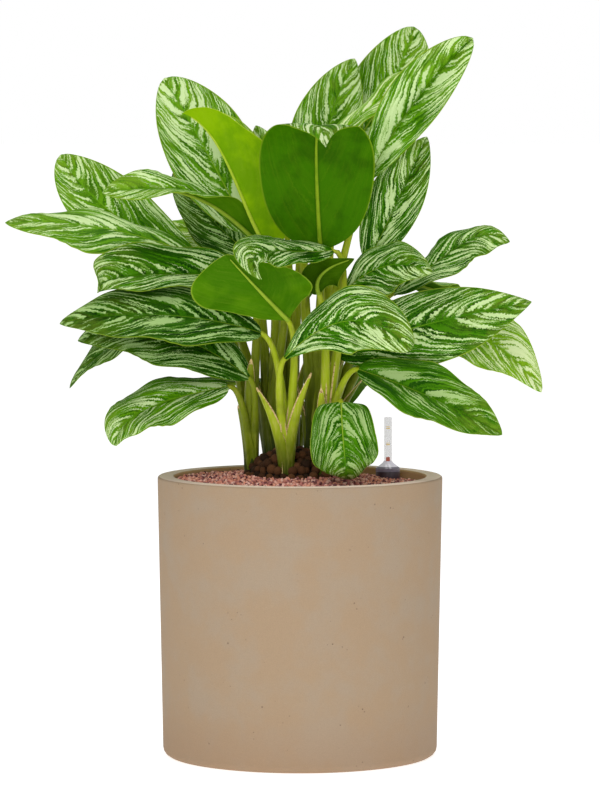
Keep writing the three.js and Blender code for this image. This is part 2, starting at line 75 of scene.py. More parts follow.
def fresh(name: str) -> bpy.types.Object:
    """Name the object that an operator has just added.

    Args:
        name: The new name of the object and its mesh.

    Returns:
        The active object.
    """
    piece = bpy.context.active_object
    piece.name = name
    piece.data.name = name
    return piece


def apply_modifier(piece: bpy.types.Object, kind: str, **settings: object) -> None:
    """Add one modifier and apply it at once.

    Args:
        piece: The object that gets it.
        kind: The modifier's type.
        settings: Its settings by name.
    """
    pick(piece)
    modifier = piece.modifiers.new(kind.title(), kind)
    for key, value in settings.items():
        setattr(modifier, key, value)
    bpy.ops.object.modifier_apply(modifier=modifier.name)


def smooth(piece: bpy.types.Object, degrees: float = 35.0) -> None:
    """Shade a piece smooth, with edges sharper than an angle kept.

    Args:
        piece: The object to shade.
        degrees: The sharpest angle that is still smoothed over.
    """
    pick(piece)
    bpy.ops.object.shade_smooth_by_angle(angle=math.radians(degrees))


def turned(name: str, profile: list[tuple[float, float]], centre: tuple[float, float] = (0.0, 0.0),
           sides: int = 64, bevel: float = 0.0) -> bpy.types.Object:
    """Spin a closed outline about a vertical axis.

    Args:
        name: The piece's name.
        profile: Pairs of radius and height in millimetres, in order round the outline.
        centre: Where the axis stands, in millimetres.
        sides: Steps of the spin.
        bevel: Rounding of the outline's corners in millimetres, or 0 for none.

    Returns:
        The turned piece.
    """
    clear_selection()
    bpy.ops.mesh.primitive_circle_add(vertices=len(profile), radius=1.0)
    piece = fresh(name)
    x, y = centre[0] * MM, centre[1] * MM
    for vertex, (radius, height) in zip(piece.data.vertices, profile):
        vertex.co = (x + radius * MM, y, height * MM)
    bpy.ops.object.mode_set(mode="EDIT")
    bpy.ops.mesh.select_all(action="SELECT")
    bpy.ops.mesh.spin(steps=sides, angle=2 * math.pi, center=(x, y, 0.0), axis=(0.0, 0.0, 1.0))
    bpy.ops.mesh.select_all(action="SELECT")
    bpy.ops.mesh.remove_doubles(threshold=1e-6)
    bpy.ops.mesh.normals_make_consistent(inside=False)
    bpy.ops.object.mode_set(mode="OBJECT")
    if bevel:
        apply_modifier(piece, "BEVEL", width=bevel * MM, segments=3, limit_method="ANGLE",
                       angle_limit=math.radians(30))
    smooth(piece)
    return piece


def skinned(name: str, rings: np.ndarray) -> bpy.types.Object:
    """Skin a row of closed rings into one closed tube.

    Args:
        name: The piece's name.
        rings: Points in metres, as rings by points by 3.

    Returns:
        The tube, its ends closed by a middle point each.
    """
    count, around = rings.shape[:2]
    points = np.concatenate([rings.reshape(-1, 3), rings[0].mean(0)[None], rings[-1].mean(0)[None]])
    foot, head = count * around, count * around + 1
    faces = []
    for i in range(count - 1):
        for j in range(around):
            k = (j + 1) % around
            faces.append((i * around + j, i * around + k, (i + 1) * around + k, (i + 1) * around + j))
    last = (count - 1) * around
    for j in range(around):
        k = (j + 1) % around
        faces.append((foot, k, j))
        faces.append((head, last + j, last + k))
    mesh = bpy.data.meshes.new(name)
    mesh.from_pydata(points.tolist(), [], faces)
    piece = bpy.data.objects.new(name, mesh)
    bpy.context.scene.collection.objects.link(piece)
    return piece


def across(tangent: np.ndarray, lean: np.ndarray) -> tuple[np.ndarray, np.ndarray]:
    """Give two directions that are square to a line and to each other.

    Args:
        tangent: The line's directions, one for each point.
        lean: The way that the first direction leans.

    Returns:
        The two directions, one of each for every point.
    """
    first = lean - tangent * (tangent @ lean)[:, None]
    first /= np.linalg.norm(first, axis=1, keepdims=True)
    return first, np.cross(tangent, first)


def hoops(centre: np.ndarray, first: np.ndarray, second: np.ndarray, reach: np.ndarray,
          turns: np.ndarray) -> np.ndarray:
    """Give rings of points round a line.

    Args:
        centre: The line's points.
        first: Where a turn of 0 points, for each of them.
        second: Where a quarter turn points, for each of them.
        reach: Radii, as rings by points or rings by 1.
        turns: Angles in radians, as points or rings by points.

    Returns:
        The points, as rings by points by 3.
    """
    way = np.cos(turns)[..., None] * first[:, None] + np.sin(turns)[..., None] * second[:, None]
    return centre[:, None] + reach[..., None] * way


def joined(pieces: list[bpy.types.Object]) -> bpy.types.Object:
    """Join several objects into the first of them.

    Args:
        pieces: The objects, the one that stays first.

    Returns:
        The first object, now with every mesh.
    """
    pick(pieces[0])
    for piece in pieces[1:]:
        piece.select_set(True)
    bpy.ops.object.join()
    return pieces[0]


def mark_points(piece: bpy.types.Object, name: str, values: np.ndarray) -> None:
    """Store one number for each point of a mesh.

    Args:
        piece: The object whose mesh gets the numbers.
        name: The attribute's name, as a material reads it.
        values: One number for each point.
    """
    attribute = piece.data.attributes.new(name, "FLOAT", "POINT")
    attribute.data.foreach_set("value", np.asarray(values, np.float32))


def corner(centre: tuple[float, float], start: float, radius: float, steps: int = 4) -> list[tuple[float, float]]:
    """Give a quarter circle of an outline.

    Args:
        centre: The circle's middle, as radius and height in millimetres.
        start: The degrees where it starts, from the outward side round towards the top.
        radius: Its radius in millimetres.
        steps: How many parts it has.

    Returns:
        Its points.
    """
    turns = [math.radians(start + 90 * i / steps) for i in range(steps + 1)]
    return [(centre[0] + radius * math.cos(turn), centre[1] + radius * math.sin(turn)) for turn in turns]


def strewn(name: str, shapes: list[bpy.types.Object], places: np.ndarray, sizes: np.ndarray,
           rng: np.random.Generator) -> bpy.types.Object:
    """Lay turned and scaled copies of a few shapes as one mesh, and take the shapes away.

    Args:
        name: The piece's name.
        shapes: The modelled shapes, each about 1 unit in radius round the origin.
        places: The copies' middles in metres.
        sizes: The copies' radii in metres.
        rng: The seeded source of turns and tints.

    Returns:
        One object with every copy; its attribute tint holds a number from 0 to 1 for each copy.
    """
    points, faces, tints, start = [], [], [], 0
    outlines = [np.array([v.co for v in s.data.vertices]) for s in shapes]
    polygons = [[tuple(p.vertices) for p in s.data.polygons] for s in shapes]
    for place, size in zip(places, sizes):
        kind = int(rng.integers(len(shapes)))
        turn, _ = np.linalg.qr(rng.normal(size=(3, 3)))
        turn *= np.sign(np.linalg.det(turn))
        points.append(outlines[kind] @ turn.T * size + place)
        faces.extend(tuple(i + start for i in face) for face in polygons[kind])
        tints.append(np.full(len(outlines[kind]), rng.random()))
        start += len(outlines[kind])
    mesh = bpy.data.meshes.new(name)
    mesh.from_pydata(np.concatenate(points).tolist(), [], faces)
    piece = bpy.data.objects.new(name, mesh)
    bpy.context.scene.collection.objects.link(piece)
    mark_points(piece, "tint", np.concatenate(tints))
    for shape in shapes:
        bpy.data.objects.remove(shape)
    return piece


def lump(name: str, cuts: int, rough: float, seed: int) -> bpy.types.Object:
    """Model one uneven grain of about 1 unit in radius.

    Args:
        name: The grain's name.
        cuts: How often a cube's faces are split before it is made round.
        rough: How uneven it is, as a share of its radius.
        seed: Seed of the unevenness.

    Returns:
        The grain at the origin.
    """
    clear_selection()
    bpy.ops.mesh.primitive_cube_add(size=2.0)
    grain = fresh(name)
    bpy.ops.object.mode_set(mode="EDIT")
    bpy.ops.mesh.select_all(action="SELECT")
    bpy.ops.mesh.subdivide(number_cuts=cuts)
    bpy.ops.transform.tosphere(value=0.8)
    bpy.ops.object.mode_set(mode="OBJECT")
    rng = np.random.default_rng(seed)
    stretch = rng.uniform(0.78, 1.12, 3)
    for vertex in grain.data.vertices:
        vertex.co = Vector(stretch) * vertex.co.normalized() * (1 + rough * rng.normal())
    return grain


def settle(piece: bpy.types.Object, nodes: tuple[str, ...], body: str = PLANTER) -> None:
    """Put a finished piece on its body in place of its nodes, and report it.

    Args:
        piece: The finished piece.
        nodes: The frame's nodes that it stands for.
        body: The body that it rides on.
    """
    clear_selection()
    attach(piece, body)
    if nodes:
        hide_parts(*nodes)
    LOG.info("%s: %d faces on %s", piece.name, len(piece.data.polygons), body)


# Small tools for materials


def linear(code: str) -> tuple[float, float, float, float]:
    """Turn a screen colour into a linear one.

    Args:
        code: The colour as six hex digits.

    Returns:
        Red, green, blue and 1.
    """
    parts = [int(code[i:i + 2], 16) / 255 for i in (0, 2, 4)]
    red, green, blue = (p / 12.92 if p <= 0.04045 else ((p + 0.055) / 1.055) ** 2.4 for p in parts)
    return red, green, blue, 1.0


class Graph:
    """Short calls that add nodes to one node tree and join them."""

    def __init__(self, tree: bpy.types.NodeTree) -> None:
        """Keep the tree that nodes are added to."""
        self.tree = tree

    def node(self, kind: str, inputs: dict[str | int, object] | None = None, **settings: object) -> bpy.types.Node:
        """Add one node.

        Args:
            kind: The node's type without its Shader prefix.
            inputs: Values or sockets for its inputs, by name or number.
            settings: Its own settings.

        Returns:
            The new node.
        """
        made = self.tree.nodes.new("ShaderNode" + kind)
        for key, value in settings.items():
            setattr(made, key, value)
        for key, value in (inputs or {}).items():
            self.feed(made.inputs[key], value)
        return made

    def feed(self, socket: Socket, value: object) -> None:
        """Join a socket to an input, or write a plain value in it."""
        if isinstance(value, bpy.types.NodeSocket):
            self.tree.links.new(value, socket)
        else:
            socket.default_value = value

    def math(self, operation: str, *values: float | Socket) -> Socket:
        """Add a Math node for numbers or sockets and give its result."""
        return self.node("Math", dict(enumerate(values)), operation=operation).outputs[0]

    def vector(self, x: float | Socket, y: float | Socket, z: float | Socket) -> Socket:
        """Give a vector of three numbers or sockets."""
        return self.node("CombineXYZ", {0: x, 1: y, 2: z}).outputs[0]

    def noise(self, vector: Socket, scale: float | Socket, detail: float = 2.0, roughness: float = 0.5) -> Socket:
        """Give a noise value from 0 to 1, mostly near one half."""
        made = self.node("TexNoise", {"Vector": vector, "Scale": scale, "Detail": detail, "Roughness": roughness})
        return made.outputs["Fac"]

    def step(self, value: Socket, low: float | Socket, high: float | Socket) -> Socket:
        """Give 0 below low, 1 above high and a smooth rise between."""
        made = self.node("MapRange", {"Value": value, "From Min": low, "From Max": high},
                         interpolation_type="SMOOTHSTEP")
        return made.outputs["Result"]

    def blend(self, share: float | Socket, first: object, second: object) -> Socket:
        """Mix two colours, the second one by share."""
        made = self.node("Mix", {0: share, 6: first, 7: second}, data_type="RGBA")
        return made.outputs[2]

    def tint(self, colour: object, mask: Socket, share: float | Socket, other: object) -> Socket:
        """Mix a share of another colour into one where a mask is 1."""
        return self.blend(self.math("MULTIPLY", mask, share), colour, other)

    def ramp(self, value: Socket, stops: list[tuple[float, tuple[float, ...]]]) -> Socket:
        """Give a colour from a row of stops."""
        made = self.node("ValToRGB", {0: value})
        elements = made.color_ramp.elements
        for place, colour in stops[1:-1]:
            elements.new(place).color = colour
        elements[0].position, elements[0].color = stops[0]
        elements[-1].position, elements[-1].color = stops[-1]
        return made.outputs["Color"]

    def group(self, group: bpy.types.NodeTree, inputs: dict[str, object]) -> bpy.types.Node:
        """Place a node group and feed its inputs."""
        made = self.tree.nodes.new("ShaderNodeGroup")
        made.node_tree = group
        for key, value in inputs.items():
            self.feed(made.inputs[key], value)
        return made

    def bump(self, height: Socket, strength: float, distance: float) -> Socket:
        """Give a normal from a height, with the depth in metres."""
        return self.node("Bump", {"Height": height, "Strength": strength, "Distance": distance}).outputs[0]

    def attribute(self, name: str) -> Socket:
        """Give a number that is stored on the mesh."""
        return self.node("Attribute", attribute_name=name).outputs["Fac"]

    def invert(self, value: Socket) -> Socket:
        """Give 1 less a value."""
        return self.math("SUBTRACT", 1.0, value)

    def give(self, leave: bpy.types.Node, values: dict[str, Socket]) -> None:
        """Join values to the outputs of a node group by name."""
        for label, value in values.items():
            self.feed(leave.inputs[label], value)

    def coat(self, shader: bpy.types.Node, colour: Socket, roughness: float | Socket, normal: Socket,
             specular: float = 0.5) -> None:
        """Feed the sockets of a Principled shader that every finish uses.

        Args:
            shader: The shader.
            colour: Its base colour.
            roughness: Its roughness.
            normal: Its normal, from a bump.
            specular: How strong its mirror light is.
        """
        self.feed(shader.inputs["Base Color"], colour)
        self.feed(shader.inputs["Roughness"], roughness)
        self.feed(shader.inputs["Normal"], normal)
        shader.inputs["Specular IOR Level"].default_value = specular


def new_group(name: str, inputs: list[tuple[str, str]],
              outputs: list[str]) -> tuple[Graph, dict[str, Socket], bpy.types.Node]:
    """Start a node group with named inputs and outputs.

    Args:
        name: The group's name.
        inputs: Pairs of input name and kind, Float or Vector.
        outputs: Names of the values it puts out.

    Returns:
        The graph to build in, the input sockets by name and the output node.
    """
    tree = bpy.data.node_groups.new(name, "ShaderNodeTree")
    for label, kind in inputs:
        tree.interface.new_socket(label, in_out="INPUT", socket_type="NodeSocket" + kind)
    for label in outputs:
        tree.interface.new_socket(label, in_out="OUTPUT", socket_type="NodeSocketFloat")
    entry = tree.nodes.new("NodeGroupInput")
    leave = tree.nodes.new("NodeGroupOutput")
    return Graph(tree), {label: entry.outputs[label] for label, _ in inputs}, leave


def new_material(name: str) -> tuple[bpy.types.Material, Graph, bpy.types.Node]:
    """Start a material with its Principled shader.

    Args:
        name: The material's name.

    Returns:
        The material, the graph of its nodes and the shader.
    """
    material = bpy.data.materials.new(name)
    material.use_nodes = True
    shader = material.node_tree.nodes["Principled BSDF"]
    return material, Graph(material.node_tree), shader


def grain_group() -> bpy.types.NodeTree:
    """Build the group for grain: cloudy patches, fine grain and sparse pits, for stone, clay and plastic."""
    graph, entry, leave = new_group("mineral_grain", [("Vector", "Vector"), ("Scale", "Float"), ("Pits", "Float")],
                                    ["Cloud", "Grain", "Pit"])
    place = entry["Vector"]
    cloud = graph.noise(place, graph.math("MULTIPLY", entry["Scale"], 0.02), 4.0, 0.6)
    grain = graph.noise(place, entry["Scale"], 3.0, 0.7)
    spots = graph.node("TexVoronoi", {"Vector": place, "Scale": graph.math("MULTIPLY", entry["Scale"], 0.16)})
    rare = graph.noise(place, graph.math("MULTIPLY", entry["Scale"], 0.05), 1.0)
    size = graph.math("MULTIPLY", graph.step(rare, 0.5, 0.75), entry["Pits"])
    pit = graph.invert(graph.step(spots.outputs["Distance"], 0.0, graph.math("ADD", size, 0.001)))
    pit = graph.math("MULTIPLY", pit, graph.step(size, 0.0, 0.05))
    graph.give(leave, {"Cloud": cloud, "Grain": grain, "Pit": pit})
    return graph.tree


@dataclass(frozen=True)
class SideVeins:
    """The leaf pattern: ragged pale streaks that follow the side veins.

    A layer is noise drawn out along the veins: how many lines it has along the midrib, and how many breaks there
    are in a line from stalk to tip. A jag is the scale of a noise that shifts the veins, and by how much.
    """

    stretch: tuple[float, float, float] = (5.5, 2.0, 0.0)
    halves_apart: float = 13.7
    jags: tuple[tuple[float, float], ...] = ((1.3, 0.11), (15.0, 0.055), (42.0, 0.02))
    broad: tuple[float, float] = (24.0, 3.0)
    thin: tuple[float, float] = (48.0, 4.0)
    dull: tuple[float, float] = (40.0, 3.0)
    hair: tuple[float, float] = (150.0, 8.0)
    ridges: int = 11
    patches: float = 1.7

    def group(self) -> bpy.types.NodeTree:
        """Build the node group.

        Vein is where on the midrib a point's side vein starts, Side is -1 to 1 from margin to margin, and UV is the
        leaf's own map.

        Returns:
            The group.
        """
        inputs = [("UV", "Vector"), ("Vein", "Float"), ("Side", "Float"), ("Seed", "Float"), ("Cover", "Float")]
        outputs = ["Pale", "Half", "Shade", "Rib", "Margin", "Tip", "Height"]
        graph, entry, leave = new_group("side_veins", inputs, outputs)
        edge = graph.math("ABSOLUTE", entry["Side"])
        half = graph.math("MULTIPLY_ADD", graph.math("SIGN", entry["Side"]), self.halves_apart, entry["Seed"])
        place = graph.node("VectorMath", {0: entry["UV"], 1: self.stretch}, operation="MULTIPLY").outputs[0]
        shift = graph.vector(half, 0.0, entry["Seed"])
        even = graph.node("VectorMath", {0: place, 1: shift}, operation="ADD").outputs[0]
        length = graph.node("SeparateXYZ", {0: entry["UV"]}).outputs[0]
        vein = entry["Vein"]
        for scale, amount in self.jags:
            uneven = graph.math("SUBTRACT", graph.noise(even, scale, 1.0), 0.5)
            vein = graph.math("MULTIPLY_ADD", uneven, amount, vein)

        def drawn(layer: tuple[float, float], detail: float = 1.0) -> Socket:
            """Give the noise of a layer, drawn out along the side veins."""
            lines, breaks = (graph.math("MULTIPLY", way, count) for way, count in zip((vein, length), layer))
            return graph.noise(graph.vector(lines, breaks, half), 1.0, detail)

        inner = graph.step(edge, 0.03, 0.17)
        outer = graph.step(edge, 0.4, 0.9)
        patch = graph.math("SUBTRACT", graph.noise(even, self.patches, 1.0), 0.5)
        bias = graph.math("MULTIPLY_ADD", inner, 0.12, graph.math("MULTIPLY_ADD", outer, -0.06, entry["Cover"]))
        bias = graph.math("MULTIPLY_ADD", patch, 0.2, graph.math("SUBTRACT", bias, 0.065))
        broad = graph.math("ADD", drawn(self.broad), bias)
        thin = graph.math("ADD", drawn(self.thin), graph.math("MULTIPLY_ADD", outer, 0.03, entry["Cover"]))
        hair = drawn(self.hair, 2.0)
        keep = graph.invert(graph.step(edge, 0.93, 0.98))

        def streaks(broad_from: tuple[float, float], thin_from: tuple[float, float], share: float) -> Socket:
            """Give the broad streaks and a share of the thin ones, clear of the margin."""
            fine = graph.math("MULTIPLY", graph.step(thin, *thin_from), share)
            return graph.math("MULTIPLY", graph.math("MAXIMUM", graph.step(broad, *broad_from), fine), keep)

        rib = graph.invert(graph.step(edge, 0.012, 0.05))
        ridge = graph.math("COSINE", graph.math("MULTIPLY", vein, 2 * math.pi * self.ridges))
        height = graph.math("MULTIPLY_ADD", ridge, 0.32, graph.math("MULTIPLY", hair, 0.4))
        old = graph.step(graph.noise(even, 2.3, 2.0), 0.3, 0.6)
        graph.give(leave, {
            "Pale": streaks((0.612, 0.634), (0.622, 0.65), 0.9),
            "Half": streaks((0.58, 0.6), (0.585, 0.615), 0.6),
            "Shade": graph.math("MULTIPLY_ADD", hair, 0.5, graph.math("MULTIPLY", drawn(self.dull), 0.5)),
            "Rib": rib,
            "Margin": graph.step(edge, 0.965, 0.99),
            "Tip": graph.math("MULTIPLY", graph.step(length, 0.4, 1.0), old),
            "Height": graph.math("MULTIPLY_ADD", rib, -1.6, height),
        })
        return graph.tree


# Finishes


class Tone(Enum):
    """Colours of a leaf: dark green, green, half-pale green, streak, underside and its rib."""

    # The deep tone is partly the darker leaves' own colour and partly painted shade, for leaves inside the clump.
    DEEP = ("0c3000", "336a02", "648e36", "aaca80", "3a6000", "809c28")
    RICH = ("103c00", "438404", "7aa444", "cae2a0", "4c7c04", "96b034")
    SOFT = ("1a4c00", "4c8a06", "709c38", "acca80", "4c7c04", "96b034")
    MID = ("2c6200", "629e0c", "90b858", "cfe6a6", "4c7c04", "96b034")
    LIME = ("4c8404", "7ab010", "a4c864", "dcecb0", "82ac02", "b2c83a")
    DARK = ("204600", "4c8808", "88b058", "cadca6", "386c00", "7e9a1c")


@dataclass(frozen=True)
class LeafFinish:
    """Satin leaf skin: a striped upper face, a plain underside and the rib that stands out below."""

    tone: Tone
    veins: bpy.types.NodeTree
    gloss: float = 0.46
    shine: float = 0.04

    def pattern(self, graph: Graph) -> bpy.types.Node:
        """Place the vein pattern and feed it from the mesh."""
        return graph.group(self.veins, {"UV": graph.node("UVMap", uv_map="UVMap").outputs[0],
                                        "Vein": graph.attribute("vein"), "Side": graph.attribute("side"),
                                        "Seed": graph.attribute("seed"), "Cover": graph.attribute("cover")})

    def upper(self) -> bpy.types.Material:
        """Make the striped upper face."""
        dark, green, half, pale, _, rib_colour = (linear(code) for code in self.tone.value)
        material, graph, shader = new_material(f"leaf_{self.tone.name.lower()}_upper")
        veins = self.pattern(graph)
        colour = graph.blend(graph.step(veins.outputs["Shade"], 0.4, 0.6), dark, green)
        colour = graph.blend(veins.outputs["Half"], colour, half)
        colour = graph.tint(colour, veins.outputs["Tip"], 0.32, rib_colour)
        fade = graph.math("MULTIPLY_ADD", graph.step(veins.outputs["Shade"], 0.52, 0.66), -0.25, 1.0)
        colour = graph.tint(colour, veins.outputs["Pale"], fade, pale)
        colour = graph.tint(colour, veins.outputs["Rib"], 0.7, green)
        colour = graph.tint(colour, veins.outputs["Margin"], 0.8, rib_colour)
        rough = graph.math("MULTIPLY_ADD", veins.outputs["Shade"], 0.2, self.gloss - 0.1)
        graph.coat(shader, colour, rough, graph.bump(veins.outputs["Height"], 0.7, 0.0006), self.shine)
        return material

    def under(self) -> bpy.types.Material:
        """Make the plain underside."""
        dark, _, _, _, under, rib_colour = (linear(code) for code in self.tone.value)
        material, graph, shader = new_material(f"leaf_{self.tone.name.lower()}_under")
        veins = self.pattern(graph)
        place = graph.node("TexCoord").outputs["Object"]
        cloud = graph.noise(place, 17.0, 4.0, 0.6)
        colour = graph.tint(under, graph.step(cloud, 0.42, 0.6), 0.55, dark)
        colour = graph.tint(colour, veins.outputs["Half"], 0.035, rib_colour)
        colour = graph.tint(colour, graph.step(veins.outputs["Shade"], 0.56, 0.68), 0.12, rib_colour)
        fleck = graph.step(graph.noise(place, 330.0, 3.0, 0.7), 0.74, 0.8)
        colour = graph.tint(colour, fleck, 0.5, rib_colour)
        colour = graph.tint(colour, veins.outputs["Margin"], 0.6, rib_colour)
        normal = graph.bump(veins.outputs["Height"], 0.4, 0.0004)
        graph.coat(shader, colour, self.gloss + 0.12, normal, self.shine * 0.6)
        return material

    def rib(self) -> bpy.types.Material:
        """Make the rib below the leaf."""
        material, graph, shader = new_material(f"leaf_{self.tone.name.lower()}_rib")
        place = graph.node("TexCoord").outputs["Object"]
        fleck = graph.noise(place, 60.0, 3.0, 0.6)
        under, rib_colour = (linear(code) for code in self.tone.value[4:])
        colour = graph.tint(rib_colour, graph.step(fleck, 0.4, 0.7), 0.35, under)
        graph.coat(shader, colour, self.gloss, graph.bump(fleck, 0.3, 0.0002), self.shine)
        return material


@dataclass(frozen=True)
class StalkFinish:
    """Fleshy green stalks that darken towards the root, their sheath margins dry and tan.

    Inside the clump they get painted shade. Inward holds the depths, in metres, between which this painted shade
    comes in, and above the heights between which it stops doing so.
    """

    fresh: str = "a2b41c"
    root: str = "2e3c02"
    light: str = "c4c25c"
    dry: str = "d6bc84"
    scar: str = "7a5a34"
    # Inward and above bound where the painted shade inside the clump comes in.
    inward: tuple[float, float] = (-0.045, -0.005)
    above: tuple[float, float] = (0.42, 0.6)

    def material(self, name: str) -> bpy.types.Material:
        """Make the finish.

        Args:
            name: The material's name.

        Returns:
            The material, which reads the attributes along and dry of the mesh.
        """
        material, graph, shader = new_material(name)
        place = graph.node("TexCoord").outputs["Object"]
        drawn = graph.node("Mapping", {"Vector": place, "Scale": (1.0, 1.0, 0.12)}).outputs[0]
        fibre = graph.noise(drawn, 420.0, 3.0, 0.6)
        cloud = graph.noise(place, 38.0, 3.0, 0.55)
        along = graph.attribute("along")
        rise = graph.step(along, 0.04, 0.42)
        colour = graph.blend(rise, linear(self.root), linear(self.fresh))
        share = graph.math("MULTIPLY_ADD", rise, 0.4, 0.08)
        colour = graph.tint(colour, graph.step(fibre, 0.46, 0.7), share, linear(self.light))
        colour = graph.tint(colour, graph.step(cloud, 0.5, 0.75), 0.4, linear(self.root))
        # Painted shade: the stalks behind the front of the clump and below the leaves are darkened with the root
        # colour.
        _, depth, height = graph.node("SeparateXYZ", {0: place}).outputs[:3]
        low = graph.invert(graph.step(height, *self.above))
        inside = graph.math("MULTIPLY", graph.step(depth, *self.inward), low)
        colour = graph.tint(colour, inside, 0.55, linear(self.root))
        dry = graph.math("MULTIPLY", graph.attribute("dry"), graph.math("MULTIPLY_ADD", fibre, 0.7, 0.6))
        scarred = graph.step(graph.noise(place, 300.0, 3.0, 0.7), 0.5, 0.68)
        torn = graph.blend(scarred, linear(self.dry), linear(self.scar))
        colour = graph.blend(graph.step(dry, 0.35, 0.6), colour, torn)
        rough = graph.math("MULTIPLY_ADD", dry, 0.3, 0.42)
        graph.coat(shader, colour, rough, graph.bump(fibre, 0.35, 0.0005), 0.12)
        return material


@dataclass(frozen=True)
class StoneFinish:
    """Matt fibre stone: sandy grain, cloudy patches, small dark pits and a warmer foot, with painted light on the
    rim's top and on the inside wall.

    Bore holds the radii, in metres, between which the inside wall's painted light ends, and top the heights
    between which the rim's painted light begins.
    """

    grain: bpy.types.NodeTree
    body: str = "a68e73"
    grey: str = "a4917b"
    warm: str = "9c8066"
    # Pale and inner are painted light: the colours of the rim's top and of the inside wall.
    pale: str = "f2dcc8"
    inner: str = "c49c6e"
    pit: str = "5c4a3c"
    painted_light_bore: tuple[float, float] = (0.1462, 0.1472)
    top: tuple[float, float] = (0.3239, 0.3244)

    def material(self) -> bpy.types.Material:
        """Make the finish."""
        material, graph, shader = new_material("fibre_stone")
        place = graph.node("TexCoord").outputs["Object"]
        grain = graph.group(self.grain, {"Vector": place, "Scale": 900.0, "Pits": 0.25})
        height = graph.node("SeparateXYZ", {0: place}).outputs[2]
        colour = graph.blend(graph.step(grain.outputs["Cloud"], 0.38, 0.66), linear(self.body), linear(self.grey))
        foot = graph.invert(graph.step(height, 0.0, 0.09))
        colour = graph.tint(colour, foot, 0.5, linear(self.warm))
        level = graph.node("VectorMath", {0: place, 1: (1.0, 1.0, 0.0)}, operation="MULTIPLY").outputs[0]
        reach = graph.node("VectorMath", {0: level}, operation="LENGTH").outputs["Value"]
        # Painted light: the inside wall is lightened and warmed, standing in for light that reaches into the pot.
        inside = graph.invert(graph.step(reach, *self.painted_light_bore))
        colour = graph.tint(colour, inside, 0.9, linear(self.inner))
        # Painted light: the rim's top is lightened, standing in for the light that falls on it past the leaves.
        rim = graph.step(height, *self.top)
        colour = graph.tint(colour, rim, 0.9, linear(self.pale))
        speck = graph.math("SUBTRACT", grain.outputs["Grain"], 0.5)
        shade = graph.node("HueSaturation", {"Color": colour, "Value": graph.math("MULTIPLY_ADD", speck, 0.34, 1.0)})
        colour = graph.tint(shade.outputs[0], grain.outputs["Pit"], 0.8, linear(self.pit))
        rough = graph.math("MULTIPLY_ADD", grain.outputs["Grain"], 0.2, 0.78)
        depth = graph.math("MULTIPLY_ADD", grain.outputs["Pit"], -1.4, grain.outputs["Grain"])
        graph.coat(shader, colour, rough, graph.bump(depth, 0.5, 0.0006), 0.25)
        return material


@dataclass(frozen=True)
class ClayFinish:
    """Fired clay grains, each tinted a little differently, with fine pores; the darkest tint is also painted shade."""

    name: str
    tints: tuple[str, str, str, str]
    grain: bpy.types.NodeTree
    scale: float = 2400.0

    def material(self) -> bpy.types.Material:
        """Make the finish."""
        material, graph, shader = new_material(self.name)
        place = graph.node("TexCoord").outputs["Object"]
        grain = graph.group(self.grain, {"Vector": place, "Scale": self.scale, "Pits": 0.5})
        deep, dull, warm, light = (linear(code) for code in self.tints)
        colour = graph.ramp(graph.attribute("tint"), [(0.0, deep), (0.3, dull), (0.65, warm), (1.0, light)])
        speck = graph.math("MULTIPLY_ADD", grain.outputs["Grain"], 0.7, 0.65)
        shade = graph.node("HueSaturation", {"Color": colour, "Value": speck})
        colour = graph.tint(shade.outputs[0], grain.outputs["Pit"], 0.6, deep)
        rough = graph.math("MULTIPLY_ADD", grain.outputs["Grain"], 0.2, 0.76)
        graph.coat(shader, colour, rough, graph.bump(grain.outputs["Grain"], 0.6, 0.0006), 0.2)
        return material


@dataclass(frozen=True)
class PlasticFinish:
    """Moulded plastic with a faint mottle in its colour and gloss, and an emission that is painted light."""

    name: str
    colour: str
    second: str
    grain: bpy.types.NodeTree
    gloss: float = 0.35
    alpha: float = 1.0
    relief: float = 0.15
    # Painted light: the strength of an emission on a part that is no lamp.
    painted_glow: float = 0.0

    def material(self) -> bpy.types.Material:
        """Make the finish."""
        material, graph, shader = new_material(self.name)
        place = graph.node("TexCoord").outputs["Object"]
        grain = graph.group(self.grain, {"Vector": place, "Scale": 1500.0, "Pits": 0.0})
        colour = graph.blend(graph.step(grain.outputs["Cloud"], 0.35, 0.7), linear(self.colour), linear(self.second))
        rough = graph.math("MULTIPLY_ADD", grain.outputs["Grain"], 0.16, self.gloss - 0.08)
        graph.coat(shader, colour, rough, graph.bump(grain.outputs["Grain"], self.relief, 0.0002))
        shader.inputs["Alpha"].default_value = self.alpha
        # Painted light: the emission lightens the piece as if it were lit, though it is no lamp.
        shader.inputs["Emission Color"].default_value = linear(self.second)
        shader.inputs["Emission Strength"].default_value = self.painted_glow
        return material


# Sub-assemblies


class Fixture:
    """A sub-assembly that is one piece of one material."""

    node: ClassVar[str]
    slot: ClassVar[str]

    def dress(self, piece: bpy.types.Object, material: bpy.types.Material) -> None:
        """Give the piece its material and its place.

        Args:
            piece: The finished piece.
            material: Its material.
        """
        piece.data.materials.append(material)
        settle(piece, (self.node,))


@dataclass
class StonePot(Fixture):
    """The round stone pot. Sizes in millimetres."""

    node = "planter_pot"
    slot = "stone"

    rim: float = 165.0
    foot: float = 159.0
    height: float = 324.5
    wall: float = 20.0
    floor: float = 26.0
    corner: float = 9.0
    lip: float = 3.0
    sides: int = 160

    def build(self) -> bpy.types.Object:
        """Turn the pot with its rounded lip and foot."""
        slope = (self.rim - self.foot) / self.height
        inner, under_lip = self.rim - self.wall, self.height - self.lip
        profile = [(0.0, 0.0)]
        for i, (radius, height) in enumerate(corner((self.foot - self.corner, self.corner), -90, self.corner)):
            profile.append((radius + slope * self.corner * i / 4, height))
        for share in (0.25, 0.5, 0.75):
            height = self.corner + share * (under_lip - self.corner)
            profile.append((self.foot + slope * height, height))
        profile += corner((self.rim - self.lip, under_lip), 0, self.lip)
        profile += corner((inner + self.lip, under_lip), 90, self.lip)
        profile += [(self.foot - self.wall, self.floor), (0.0, self.floor)]
        return turned("stone_pot", profile, sides=self.sides)


